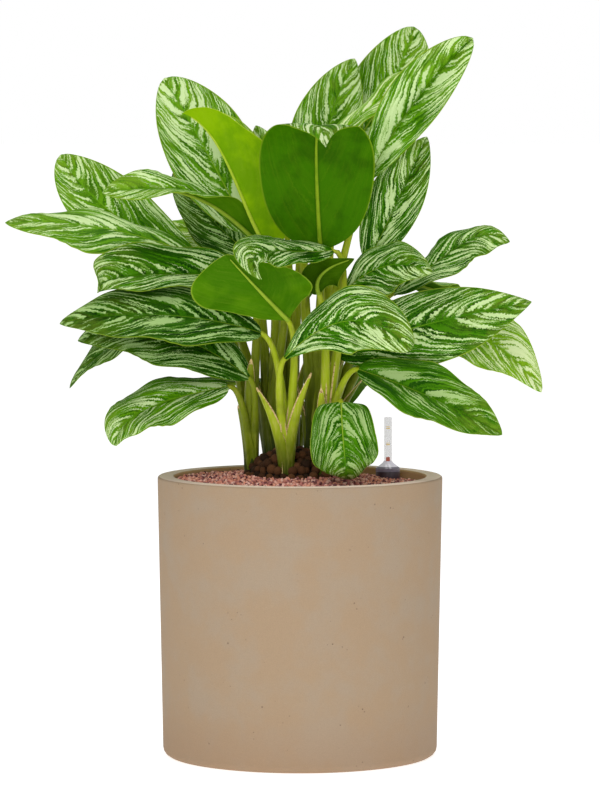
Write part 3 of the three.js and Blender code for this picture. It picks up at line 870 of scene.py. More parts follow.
@dataclass
class GranuleBed(Fixture):
    """The granules that fill the pot, with one loose layer on top. Sizes in millimetres.

    Mound and gauge hold the middle and the radius of a round left clear. The plug below the loose layer has its
    radii and their heights over the bed's top.
    """

    node = "granule_bed"
    slot = "granules"

    top: float = 317.2
    crown: float = 10.5
    tilt: float = -0.024
    radius: float = 143.0
    grain: float = 2.0
    pitch: float = 3.9
    mound: Point = (-10.0, 0.0, 53.0)
    gauge: Point = (103.0, 50.0, 15.0)
    plug_foot: float = 290.0
    plug: tuple[tuple[float, float], ...] = ((143.0, -5.5), (100.0, -1.0), (50.0, 4.6), (0.0, 6.0))

    def height(self, place: np.ndarray) -> np.ndarray:
        """Give the height of the bed at places, in millimetres."""
        reach = np.hypot(place[:, 0], place[:, 1])
        relief = np.sin(place[:, 0] * 0.31 + 1.7 * np.sin(place[:, 1] * 0.23))
        relief *= np.sin(place[:, 1] * 0.29 + 1.3 * np.sin(place[:, 0] * 0.19 + 2))
        crown = self.crown * np.clip(1 - (reach / self.radius) ** 2, 0, 1) ** 1.7
        return self.top + crown + self.tilt * place[:, 0] + 0.8 * relief

    def places(self, rng: np.random.Generator) -> np.ndarray:
        """Scatter places over the bed, clear of the mound and the gauge.

        Args:
            rng: The seeded source of the scatter.

        Returns:
            Pairs of x and y in millimetres.
        """
        span = np.arange(-self.radius, self.radius, self.pitch)
        grid = np.array([(x + (row % 2) * self.pitch / 2, y)
                         for row, y in enumerate(span * 1.14 * 0.88) for x in span])
        grid += rng.uniform(-0.34, 0.34, grid.shape) * self.pitch
        inside = np.hypot(grid[:, 0], grid[:, 1]) < self.radius - self.grain
        for x, y, clear in (self.mound, self.gauge):
            inside &= np.hypot(grid[:, 0] - x, grid[:, 1] - y) > clear
        return grid[inside]

    def build(self) -> bpy.types.Object:
        """Lay the loose granules over a plug of the same clay."""
        rng = np.random.default_rng(11)
        plane = self.places(rng)
        level = self.height(plane) - self.grain * 0.4 + rng.uniform(-1.3, 1.3, len(plane))
        places = np.column_stack([plane, level]) * MM
        sizes = rng.uniform(0.8, 1.22, len(plane)) * self.grain * MM
        bed = strewn("granules", [lump(f"granule_{i}", 1, 0.09, i) for i in range(4)], places, sizes, rng)
        outline = [(0.0, self.plug_foot), (self.radius, self.plug_foot)]
        outline += [(radius, self.top + rise) for radius, rise in self.plug]
        plug = turned("granule_plug", outline)
        # Painted shade: the plug takes a tint near the darkest, so the gaps between the loose granules read as shade.
        mark_points(plug, "tint", np.full(len(plug.data.vertices), 0.1))
        bed = joined([bed, plug])
        smooth(bed, 60)
        return bed


@dataclass
class PebbleMound(Fixture):
    """The heap of darker pebbles that the shoots grow from. Sizes in millimetres."""

    node = "pebble_mound"
    slot = "pebbles"

    x: float = -10.0
    radius: float = 58.0
    peak: float = 353.0
    foot: float = 318.0
    pebble: float = 5.2
    rings: int = 9
    core_foot: float = 300.0
    core_shares: tuple[float, ...] = (0.93, 0.7, 0.45, 0.2)

    def level(self, share: float) -> float:
        """Give the height of the heap, by the share of its radius."""
        return self.peak + (self.foot - self.peak) * share ** 2.2

    def build(self) -> bpy.types.Object:
        """Heap the pebbles over a core of the same clay."""
        rng = np.random.default_rng(23)
        rows = [(self.x, 0.0, self.peak)]
        for ring in range(1, self.rings + 1):
            share = ring / self.rings
            count = round(2 * math.pi * share * self.radius / (self.pebble * 1.75))
            for i in range(count):
                turn = 2 * math.pi * (i + 0.5 * (ring % 2) + rng.uniform(-0.2, 0.2)) / count
                reach = self.radius * (share + rng.uniform(-0.03, 0.03))
                rows.append((self.x + reach * math.cos(turn), reach * math.sin(turn),
                             self.level(share) + rng.uniform(-1.6, 2.2)))
        places = np.array(rows) * MM
        sizes = rng.uniform(0.75, 1.2, len(rows)) * self.pebble * MM
        heap = strewn("pebbles", [lump(f"pebble_{i}", 2, 0.03, 40 + i) for i in range(4)], places, sizes, rng)
        outline = [(0.0, self.core_foot), (self.radius - 4, self.core_foot)]
        outline += [(self.radius * share, self.level(share) - 1.0) for share in self.core_shares]
        core = turned("pebble_core", [*outline, (0.0, self.peak - 1)], (self.x, 0.0), 40)
        # Painted shade: the core takes the darkest tint, so the gaps between the pebbles read as shade.
        mark_points(core, "tint", np.full(len(core.data.vertices), 0.02))
        heap = joined([heap, core])
        smooth(heap, 70)
        return heap


@dataclass
class WaterGauge:
    """The water gauge: a dark sleeve, a clear head with level marks and the float inside. Millimetres."""

    x: float = 103.0
    y: float = 50.0
    shaft: float = 11.0
    wall: float = 1.4
    bottom: float = 120.0
    skirt_foot: float = 310.0
    skirt_top: float = 325.0
    skirt: float = 14.3
    band_top: float = 329.0
    neck: float = 6.5
    neck_top: float = 335.0
    cone_top: float = 337.0
    tube: float = 5.1
    tube_wall: float = 0.8
    top: float = 389.0
    mouth: float = 10.0
    float_radius: float = 7.5
    float_height: float = 32.0
    rod: float = 0.9
    tip: float = 2.4
    tip_foot: float = 336.9
    tip_top: float = 341.8
    sides: int = 48
    levels: tuple[float, ...] = (375.8, 356.6)
    ticks: tuple[float, ...] = (-1.4, 0.0, 1.4)
    tick: float = 0.9
    tick_rise: float = 1.9
    line: float = 4.4

    @property
    def centre(self) -> tuple[float, float]:
        """Give where the gauge stands."""
        return self.x, self.y

    def build_sleeve(self) -> bpy.types.Object:
        """Turn the dark sleeve and its flared skirt."""
        inner = self.shaft - self.wall
        profile = [(0.0, self.bottom), (self.shaft, self.bottom), (self.shaft, self.skirt_foot),
                   (self.skirt - 0.6, self.skirt_foot), (self.skirt, self.skirt_foot + 6),
                   (self.skirt, self.skirt_top), (inner, self.skirt_top), (inner, self.bottom + self.wall),
                   (0.0, self.bottom + self.wall)]
        return turned("gauge_sleeve_shell", profile, self.centre, self.sides, 0.4)

    def build_head(self) -> bpy.types.Object:
        """Turn the clear head: a band, a cone and the closed tube."""
        foot, inner = self.skirt_top + 0.3, self.tube - self.tube_wall
        profile = [(self.mouth, foot), (self.skirt, foot), (self.skirt, self.band_top),
                   (self.skirt - 2.4, self.band_top + 1.8), (self.neck + 1.6, self.neck_top - 1.2),
                   (self.neck, self.neck_top), (self.tube, self.cone_top), (self.tube, self.top - 1),
                   (self.tube - 0.4, self.top - 0.3), (self.tube - 1, self.top), (0.0, self.top),
                   (0.0, self.top - self.tube_wall), (inner - 0.6, self.top - self.tube_wall),
                   (inner, self.top - 2), (inner, self.cone_top), (self.mouth - 2.6, self.neck_top - 2.6),
                   (self.mouth, self.band_top - 1)]
        return turned("gauge_head", profile, self.centre, self.sides)

    def build_marks(self) -> bpy.types.Object:
        """Lay the level marks on the front of the tube: a line and three ticks above it for each level."""
        strips = []
        rows = []
        for level in self.levels:
            rows.append((level, 0.0, self.line))
            rows += [(level + self.tick_rise, shift, self.tick) for shift in self.ticks]
        for height, shift, width in rows:
            clear_selection()
            bpy.ops.mesh.primitive_grid_add(x_subdivisions=8, y_subdivisions=1, size=2.0)
            strip = fresh("gauge_mark")
            for vertex in strip.data.vertices:
                turn = (shift + vertex.co.x * width / 2) / self.tube - math.pi / 2
                reach = self.tube + 0.08
                vertex.co = ((self.x + reach * math.cos(turn)) * MM, (self.y + reach * math.sin(turn)) * MM,
                             (height + 0.5 * vertex.co.y) * MM)
            apply_modifier(strip, "SOLIDIFY", thickness=0.0001, offset=0.0)
            strips.append(strip)
        marks = joined(strips)
        marks.name = "gauge_marks"
        smooth(marks)
        return marks

    def build_float(self) -> bpy.types.Object:
        """Turn the float with its rod and red tip."""
        foot = self.bottom + self.wall + 0.3
        profile = [(0.0, foot), (self.float_radius, foot), (self.float_radius, foot + self.float_height),
                   (self.rod, foot + self.float_height + 4), (self.rod, self.tip_foot),
                   (self.tip, self.tip_foot + 0.2), (self.tip, self.tip_top - 0.8),
                   (self.tip - 0.4, self.tip_top - 0.2), (0.0, self.tip_top)]
        return turned("gauge_float_stick", profile, self.centre, 32, 0.2)

    def dress(self, sleeve: bpy.types.Object, head: bpy.types.Object, marks: bpy.types.Object,
              stick: bpy.types.Object, grain: bpy.types.NodeTree) -> None:
        """Give the gauge's pieces their finishes and places.

        Args:
            sleeve: The dark sleeve.
            head: The clear head.
            marks: The level marks.
            stick: The float and its rod.
            grain: The group for mottle.
        """
        clear = {"grain": grain, "relief": 0.0}
        # The clear head, the level marks and the float's tip are lightened by painted light from their emission.
        finishes = (
            (sleeve, PlasticFinish("gauge_dark", "483a46", "544450", grain, gloss=0.3)),
            (head, PlasticFinish("gauge_clear", "8e8c8a", "9a9896", gloss=0.3, alpha=0.15, painted_glow=0.3, **clear)),
            (head, PlasticFinish("gauge_cone", "d4d0de", "e0dce8", gloss=0.14, alpha=0.92, painted_glow=0.28, **clear)),
            (head, PlasticFinish("gauge_band", "6e6878", "8e889a", gloss=0.12, alpha=0.95, painted_glow=0.1, **clear)),
            (marks, PlasticFinish("mark_paint", "e0b428", "e8c040", grain, gloss=0.5, painted_glow=0.3)),
            (stick, PlasticFinish("float_red", "b82c04", "d84a10", grain, gloss=0.4, painted_glow=0.25)),
            (stick, PlasticFinish("float_rod", "d8d4d4", "e4e2e2", grain, gloss=0.4)),
        )
        for piece, finish in finishes:
            piece.data.materials.append(finish.material())
        for polygon in head.data.polygons:
            height = polygon.center.z / MM
            polygon.material_index = 0 if height > self.cone_top else 1 if height > self.band_top + 1 else 2
        for polygon in stick.data.polygons:
            polygon.material_index = int(polygon.center.z < self.tip_foot * MM)
        settle(sleeve, ("gauge_sleeve",))
        settle(head, ("gauge_tube",))
        settle(marks, ())
        settle(stick, ("gauge_float",), FLOAT_BODY)


@dataclass(frozen=True)
class Leaf:
    """One leaf, in millimetres.

    The rib holds points along the midrib from stalk to tip; left and right reach from it to the margins at the
    widest place, seen on the upper face with the tip ahead, and turn to left_end and right_end by the tip; at is
    the height where the stalk leaves its cane; arch bends the side veins; cover makes the streaks wider or narrower.
    """

    name: str
    tone: Tone
    shoot: str
    at: float
    rib: tuple[Point, ...]
    left: Point
    right: Point
    left_end: Point | None = None
    right_end: Point | None = None
    widest: float = 0.48
    fullness: float = 0.62
    taper: float = 0.74
    lobe: float = 0.0
    sweep: float = 0.0
    arch: float = 0.0
    wave: float = 4.5
    cover: float = 0.0


LEAVES = (
    Leaf("far_left", Tone.MID, "a", 322, ((-122, 30, 578), (-231, 10, 611), (-340, -5, 617)), (0, -38, -26),
         (0, 38, 16)),
    Leaf("high_left", Tone.MID, "c", 310, ((-123, 60, 572), (-220, 55, 628), (-279, 50, 695)), (-38, 10, -16),
         (35, 10, 25), taper=0.62),
    Leaf("folded_left", Tone.MID, "c", 329, ((-40, 30, 586), (-95, 6, 634), (-150, -22, 655), (-226, -38, 652)),
         (4, -18, 44), (2, 22, -22), left_end=(0, -26, -30), right_end=(8, 30, 42), widest=0.5, fullness=0.5,
         taper=0.7),
    Leaf("cup_left", Tone.RICH, "a", 330, ((-66, 0, 556), (-130, -20, 558), (-200, -50, 556), (-229, -95, 541)),
         (0, -28, -14), (0, 18, 33), left_end=(0, -20, -16), right_end=(0, 18, 36), widest=0.5, fullness=0.42,
         taper=0.3),
    Leaf("broad_left", Tone.DEEP, "b", 304, ((-44, -34, 491), (-156, -60, 513), (-273, -80, 504)), (0, -34, -28),
         (0, 32, 32)),
    Leaf("under_left", Tone.DEEP, "a", 313, ((-58, -14, 438), (-156, -25, 489), (-255, -34, 482)), (-7, -28, -31),
         (9, 22, 32)),
    Leaf("low_left", Tone.DEEP, "a", 327, ((-99, 25, 492), (-197, 15, 483), (-267, 10, 425)), (7, -36, -12),
         (-9, 40, 14), left_end=(4, -16, -6)),
    Leaf("bottom_left", Tone.MID, "a", 304, ((-82, -15, 429), (-140, -22, 416), (-190, -34, 396), (-211, -44, 362)),
         (6, -30, -22), (-8, 30, 22), left_end=(16, -28, -18), right_end=(-22, 26, 18), widest=0.5, fullness=0.5,
         taper=0.52),
    Leaf("tall_left", Tone.MID, "c", 334, ((-61, 65, 606), (-111, 60, 702), (-159, 75, 784)), (-42, 5, -17),
         (46, 2, 25), taper=0.6, cover=0.02),
    Leaf("yellow", Tone.LIME, "c", 333, ((-27, 8, 580), (-58, 5, 629), (-90, 2, 699), (-135, 0, 743)),
         (43, -15, 20), (34, 28, 27)),
    Leaf("behind_left", Tone.DEEP, "c", 329, ((-45, 105, 567), (-100, 103, 614), (-150, 100, 673)), (-21, -14, -21),
         (25, 12, 21)),
    Leaf("bright_behind", Tone.LIME, "c", 320, ((-45, 130, 560), (-104, 132, 597), (-164, 125, 609)), (0, -18, -18),
         (0, 24, 18)),
    Leaf("small_top", Tone.MID, "g", 334, ((-18, 90, 618), (-33, 90, 675), (-52, 95, 729)), (-23, 20, -6),
         (25, 15, 5)),
    Leaf("centre_back", Tone.DARK, "e", 342, ((24, -15, 586), (20, -40, 645), (19, -70, 718), (29, -120, 705)),
         (70, 18, 0), (-69, 18, 0), left_end=(60, 14, -8), right_end=(-58, 16, -3), widest=0.5, fullness=0.66,
         taper=1.1),
    Leaf("upper_middle", Tone.MID, "f", 337, ((21, 66, 625), (33, 74, 723), (64, 74, 807)), (-43, 10, 0),
         (39, 5, -5)),
    Leaf("top", Tone.MID, "f", 339, ((58, 98, 700), (103, 108, 769), (134, 104, 845)), (-42, 12, 14), (42, 12, -19),
         taper=0.6),
    Leaf("large_right", Tone.MID, "e", 328, ((78, 0, 666), (130, -5, 753), (198, -20, 829)), (-27, -22, 20),
         (23, -22, -17), widest=0.55, taper=0.55, cover=0.02),
    Leaf("band_right", Tone.LIME, "e", 339, ((26, 22, 703), (99, 30, 763), (168, 25, 820)), (-7, 26, 9),
         (7, -26, -9)),
    Leaf("vertical_right", Tone.RICH, "e", 329, ((79, 20, 571), (114, 25, 643), (147, 25, 716)), (-39, -10, -2),
         (29, -10, -3)),
    Leaf("upper_right", Tone.RICH, "f", 327, ((108, 38, 534), (159, 36, 570), (202, 34, 598), (244, 36, 594)),
         (-6, 16, 15), (8, -26, -13), right_end=(8, -26, -28), taper=0.6),
    Leaf("dome_right", Tone.RICH, "d", 329, ((52, -8, 539), (101, -42, 569), (150, -82, 562)), (-5, 22, 24),
         (5, -22, -26), right_end=(5, -26, -34)),
    Leaf("big_right", Tone.RICH, "e", 320, ((40, 0, 468), (154, -10, 502), (267, -10, 526)), (-7, 4, 37),
         (7, -10, -45), taper=0.9, cover=-0.01),
    Leaf("front_right", Tone.RICH, "b", 316, ((-18, -58, 463), (57, -92, 508), (125, -122, 476)), (-3, 14, 38),
         (3, -16, -36), widest=0.58, fullness=0.7, taper=0.42),
    Leaf("lower_right", Tone.LIME, "f", 316, ((111, 50, 491), (208, 45, 485), (281, 30, 419)), (19, 20, 30),
         (-16, -25, -28), cover=0.02),
    Leaf("bottom_right", Tone.SOFT, "d", 313, ((66, -38, 450), (152, -48, 417), (231, -60, 376)), (14, 14, 32),
         (-11, -32, -22), cover=-0.05),
    Leaf("heart_front", Tone.SOFT, "d", 304, ((47, -62, 414), (49, -92, 373), (52, -104, 342), (54, -80, 327)),
         (38, 12, 0), (-37, 12, 0), lobe=15, widest=0.4, fullness=0.55, taper=0.85, arch=0.8),
    Leaf("small_centre", Tone.RICH, "d", 327, ((38, -32, 586), (-12, -68, 586), (-48, -104, 583), (-43, -122, 556)),
         (16, -12, -15), (-20, 8, 16), right_end=(-30, 4, 16), wave=2, taper=0.6),
    Leaf("dark_centre", Tone.DEEP, "d", 333, ((22, -40, 536), (26, -44, 560), (62, -48, 577)), (20, 6, -12),
         (-22, 8, 2), wave=2),
    Leaf("waved_centre", Tone.MID, "b", 306, ((-14, -48, 507), (-46, -72, 541), (-84, -94, 583)), (76, 18, 14),
         (-34, -8, -10), left_end=(40, 10, 4), right_end=(-86, -12, -22), sweep=0.8, wave=5, widest=0.56,
         fullness=0.85),
    Leaf("rear_left", Tone.MID, "c", 304, ((-60, 110, 520), (-130, 190, 540), (-190, 250, 500)), (-28, -30, 4),
         (28, 30, 4)),
    Leaf("rear_left_high", Tone.DEEP, "g", 328, ((-40, 140, 600), (-70, 215, 640), (-100, 290, 625)), (-36, -16, 4),
         (36, 16, 4)),
    Leaf("rear_left_low", Tone.DEEP, "g", 304, ((-50, 100, 425), (-105, 165, 415), (-150, 215, 375)), (-26, -28, 4),
         (26, 28, 4)),
    Leaf("rear_middle", Tone.MID, "g", 316, ((-10, 130, 510), (-20, 230, 540), (-30, 320, 490)), (-42, -4, 4),
         (42, 4, 4)),
    Leaf("rear_upright", Tone.MID, "g", 336, ((0, 110, 640), (-10, 180, 694), (-20, 260, 698)), (-42, -4, 4),
         (42, 4, 4)),
    Leaf("rear_right", Tone.DEEP, "f", 304, ((70, 110, 500), (140, 190, 510), (200, 250, 470)), (-28, 30, 4),
         (28, -30, 4)),
    Leaf("rear_right_high", Tone.MID, "f", 330, ((80, 110, 530), (145, 180, 538), (195, 230, 505)), (-28, 30, 4),
         (28, -30, 4)),
    Leaf("rear_right_low", Tone.DEEP, "g", 310, ((30, 110, 440), (45, 190, 430), (55, 260, 385)), (-38, 8, 4),
         (38, -8, 4)),
)

CANES: dict[str, tuple[Point, Point]] = {
    "a": ((-52, 8, 284), (-60, 9, 385)),
    "b": ((-14, -36, 284), (-17, -41, 385)),
    "c": ((-30, 30, 284), (-38, 38, 388)),
    "d": ((22, -24, 284), (27, -31, 380)),
    "e": ((12, 4, 284), (15, 4, 395)),
    "f": ((18, 30, 284), (30, 37, 388)),
    "g": ((-8, 42, 284), (-10, 56, 385)),
}

SHEATHS: tuple[tuple[str, float, Point], ...] = (
    ("a", 318, (-69, -4, 408)),
    ("a", 326, (-56, -14, 462)),
    ("b", 312, (-47, -54, 432)),
    ("b", 308, (10, -50, 448)),
    ("c", 325, (-22, 36, 430)),
    ("d", 304, (24, -46, 430)),
    ("e", 330, (26, 12, 440)),
    ("f", 318, (70, 20, 438)),
    ("f", 330, (48, 30, 462)),
    ("g", 322, (0, 52, 425)),
    ("g", 326, (6, 46, 468)),
    ("e", 316, (-2, 14, 436)),
    ("c", 322, (-50, 34, 446)),
)


class Curve:
    """A Bezier curve in millimetres."""

    def __init__(self, controls: np.ndarray) -> None:
        """Keep the control points."""
        self.controls = np.asarray(controls, float)

    @classmethod
    def through(cls, points: tuple[Point, ...]) -> "Curve":
        """Fit a curve through three or four points at even shares of its length.

        Args:
            points: The points, in order.

        Returns:
            The curve.
        """
        p = np.array(points, float)
        if len(p) == 3:
            return cls(np.array([p[0], -0.5 * p[0] + 2 * p[1] - 0.5 * p[2], p[2]]))
        first = np.array([-5 / 6, 3, -1.5, 1 / 3]) @ p
        second = np.array([1 / 3, -1.5, 3, -5 / 6]) @ p
        return cls(np.array([p[0], first, second, p[3]]))

    def _weigh(self, controls: np.ndarray, share: np.ndarray) -> np.ndarray:
        """Weigh control points by the Bernstein polynomials at shares."""
        degree = len(controls) - 1
        weights = [math.comb(degree, i) * share ** i * (1 - share) ** (degree - i) for i in range(degree + 1)]
        return np.stack(weights, -1) @ controls

    def at(self, share: np.ndarray) -> np.ndarray:
        """Give points at shares from 0 to 1."""
        return self._weigh(self.controls, np.asarray(share, float))

    def along(self, share: np.ndarray) -> np.ndarray:
        """Give directions of unit length at shares from 0 to 1."""
        way = self._weigh(np.diff(self.controls, axis=0), np.asarray(share, float))
        return way / np.linalg.norm(way, axis=-1, keepdims=True)

    def even(self, count: int) -> np.ndarray:
        """Give shares that part the curve into even lengths.

        Args:
            count: How many shares to give, both ends among them.

        Returns:
            The shares.
        """
        fine = np.linspace(0, 1, 200)
        run = np.concatenate([[0], np.cumsum(np.linalg.norm(np.diff(self.at(fine), axis=0), axis=1))])
        return np.interp(np.linspace(0, run[-1], count), run, fine)


@dataclass
class Blades:
    """The leaf blades. Sizes in millimetres."""

    thickness: float = 0.6
    long_steps: int = 64
    wide_steps: int = 24
    base: float = 0.05
    tip: float = 0.012
    waves: float = 2.4
    belly: float = 4.0
    ripple: float = 0.6
    ripples: float = 7.0
    rib_root: float = 2.6
    rib_end: float = 0.4
    steepest: float = 0.24
    bend: float = 2.0
    crowd: float = 1.15

    def width(self, leaf: Leaf, u: np.ndarray) -> np.ndarray:
        """Give the half width along a leaf as a share of the widest."""
        swell = np.sin(np.pi * u ** (math.log(0.5) / math.log(leaf.widest)))
        power = np.where(u < leaf.widest, leaf.fullness, leaf.taper)
        return np.maximum(swell, 0) ** power + self.base * (1 - u) + self.tip * u

    def margins(self, leaf: Leaf, u: np.ndarray) -> tuple[np.ndarray, np.ndarray]:
        """Give the reaches to the left and the right margin at shares of a leaf's length."""
        ends = ((leaf.left, leaf.left_end or leaf.left), (leaf.right, leaf.right_end or leaf.right))
        left, right = (np.array(a, float) + (np.array(b, float) - np.array(a, float)) * u[..., None] for a, b in ends)
        return left, right

    def upward(self, left: np.ndarray, right: np.ndarray, tangent: np.ndarray) -> np.ndarray:
        """Give the way out of the upper face along the midrib."""
        upper = np.cross(right - left, tangent)
        return upper / np.linalg.norm(upper, axis=-1, keepdims=True)

    def surface(self, leaf: Leaf, phase: float, u: np.ndarray, v: np.ndarray) -> np.ndarray:
        """Give points of a blade's middle surface.

        Args:
            leaf: The leaf.
            phase: Where its waves start, from 0 to 1.
            u: Shares from the stalk to the tip.
            v: Shares across, -1 on the left margin and 1 on the right.

        Returns:
            The points in millimetres.
        """
        rib = Curve.through(leaf.rib)
        tangent = rib.along(u)
        left, right = self.margins(leaf, u)
        reach = np.where((v < 0)[..., None], left, right)
        sweep = leaf.sweep * np.minimum(4 * u, 1)
        reach = reach - tangent * ((reach * tangent).sum(-1) * (1 - sweep))[..., None]
        upper = self.upward(left, right, tangent)
        edge = np.abs(v)
        width = self.width(leaf, u)
        lift = self.belly * 4 * edge * (1 - edge) * width
        side = np.where(v < 0, 0.37, 0.0)
        sway = np.sin(2 * np.pi * (self.waves * u + phase + side))
        wave = leaf.wave * sway * edge ** 1.5 * np.sin(np.pi * u)
        small = np.sin(2 * np.pi * (self.ripples * u * (1 + 0.15 * sway) + 2 * phase + side))
        wave = wave + self.ripple * small * edge ** 3 * np.sin(np.pi * u)
        back = -leaf.lobe * edge * np.sin(np.pi * np.minimum(4 * u, 1))
        return (rib.at(u) + reach * (edge * width)[..., None] + upper * (lift + wave)[..., None]
                + tangent * back[..., None])

    def vein(self, leaf: Leaf, u: np.ndarray, edge: np.ndarray) -> np.ndarray:
        """Give where on the midrib the side vein through each point starts, as a share of its length.

        The veins leave the midrib at a slant, turn further towards the tip on their way out and crowd along the
        margin.

        Args:
            leaf: The leaf.
            u: Shares from the stalk to the tip.
            edge: Shares from the midrib to the margin.

        Returns:
            The shares, below 0 for the veins that start at the stalk.
        """
        run = np.linalg.norm(np.diff(Curve.through(leaf.rib).at(np.linspace(0, 1, 40)), axis=0), axis=1).sum()
        breadth = (np.linalg.norm(leaf.left) + np.linalg.norm(leaf.right)) / 2
        reach = min(breadth / run, self.steepest) * self.width(leaf, u)
        return u - reach * edge * (1 - leaf.arch + (self.bend + leaf.arch) * edge)

    def build(self, leaf: Leaf, phase: float, skin: tuple[bpy.types.Material, ...]) -> bpy.types.Object:
        """Shape one leaf from a grid, give it its thickness and lay the rib below it.

        Args:
            leaf: The leaf.
            phase: Where its waves start, from 0 to 1.
            skin: Its upper, under and rib materials.

        Returns:
            The leaf, its faces on slot 0 above, 1 below and 2 on the rib.
        """
        clear_selection()
        bpy.ops.mesh.primitive_grid_add(x_subdivisions=self.long_steps, y_subdivisions=self.wide_steps, size=2.0)
        blade = fresh(f"blade_{leaf.name}")
        mesh = blade.data
        flat = np.array([v.co for v in mesh.vertices])
        u = (flat[:, 0] + 1) / 2
        v = -np.sign(flat[:, 1]) * np.abs(flat[:, 1]) ** self.crowd
        mesh.vertices.foreach_set("co", (self.surface(leaf, phase, u, v) * MM).ravel())
        corners = np.zeros(len(mesh.loops), int)
        mesh.loops.foreach_get("vertex_index", corners)
        mesh.uv_layers[0].name = "UVMap"
        mesh.uv_layers[0].data.foreach_set("uv", np.column_stack([u, 0.5 - v / 2])[corners].ravel())
        mark_points(blade, "vein", self.vein(leaf, u, np.abs(v)))
        mark_points(blade, "side", v)
        for material in skin:
            mesh.materials.append(material)
        apply_modifier(blade, "SOLIDIFY", thickness=self.thickness * MM, offset=0.0, material_offset=1,
                       material_offset_rim=0)
        blade = joined([blade, self.build_rib(leaf, phase, skin)])
        smooth(blade, 60)
        return blade

    def build_rib(self, leaf: Leaf, phase: float, skin: tuple[bpy.types.Material, ...]) -> bpy.types.Object:
        """Skin the round rib that stands out below one leaf.

        Args:
            leaf: The leaf.
            phase: Where its waves start.
            skin: The leaf's upper, under and rib materials.

        Returns:
            The rib, its faces on slot 2.
        """
        u = np.linspace(0.0, 0.94, 30)
        radius = self.rib_root + (self.rib_end - self.rib_root) * u ** 1.3
        rib = Curve.through(leaf.rib)
        tangent = rib.along(u)
        left, right = self.margins(leaf, u)
        upper = self.upward(left, right, tangent)
        centre = self.surface(leaf, phase, u, np.zeros_like(u)) - upper * (radius * 0.72 + 0.1)[:, None]
        turns = np.linspace(0, 2 * np.pi, 12, endpoint=False)
        rings = hoops(centre, np.cross(tangent, upper), upper, radius[:, None], turns)
        rod = skinned(f"rib_{leaf.name}", rings[:, ::-1] * MM)
        for material in skin:
            rod.data.materials.append(material)
        for polygon in rod.data.polygons:
            polygon.material_index = 2
        return rod

    def dress(self, blade: bpy.types.Object, leaf: Leaf, number: int) -> None:
        """Give one leaf its own pattern and its place.

        Args:
            blade: The leaf's piece.
            leaf: The leaf.
            number: Its number, which sets its pattern.
        """
        count = len(blade.data.vertices)
        mark_points(blade, "seed", np.full(count, 3.1 * number + 1.7))
        mark_points(blade, "cover", np.full(count, leaf.cover))
        settle(blade, (f"leaf_{leaf.name}",))


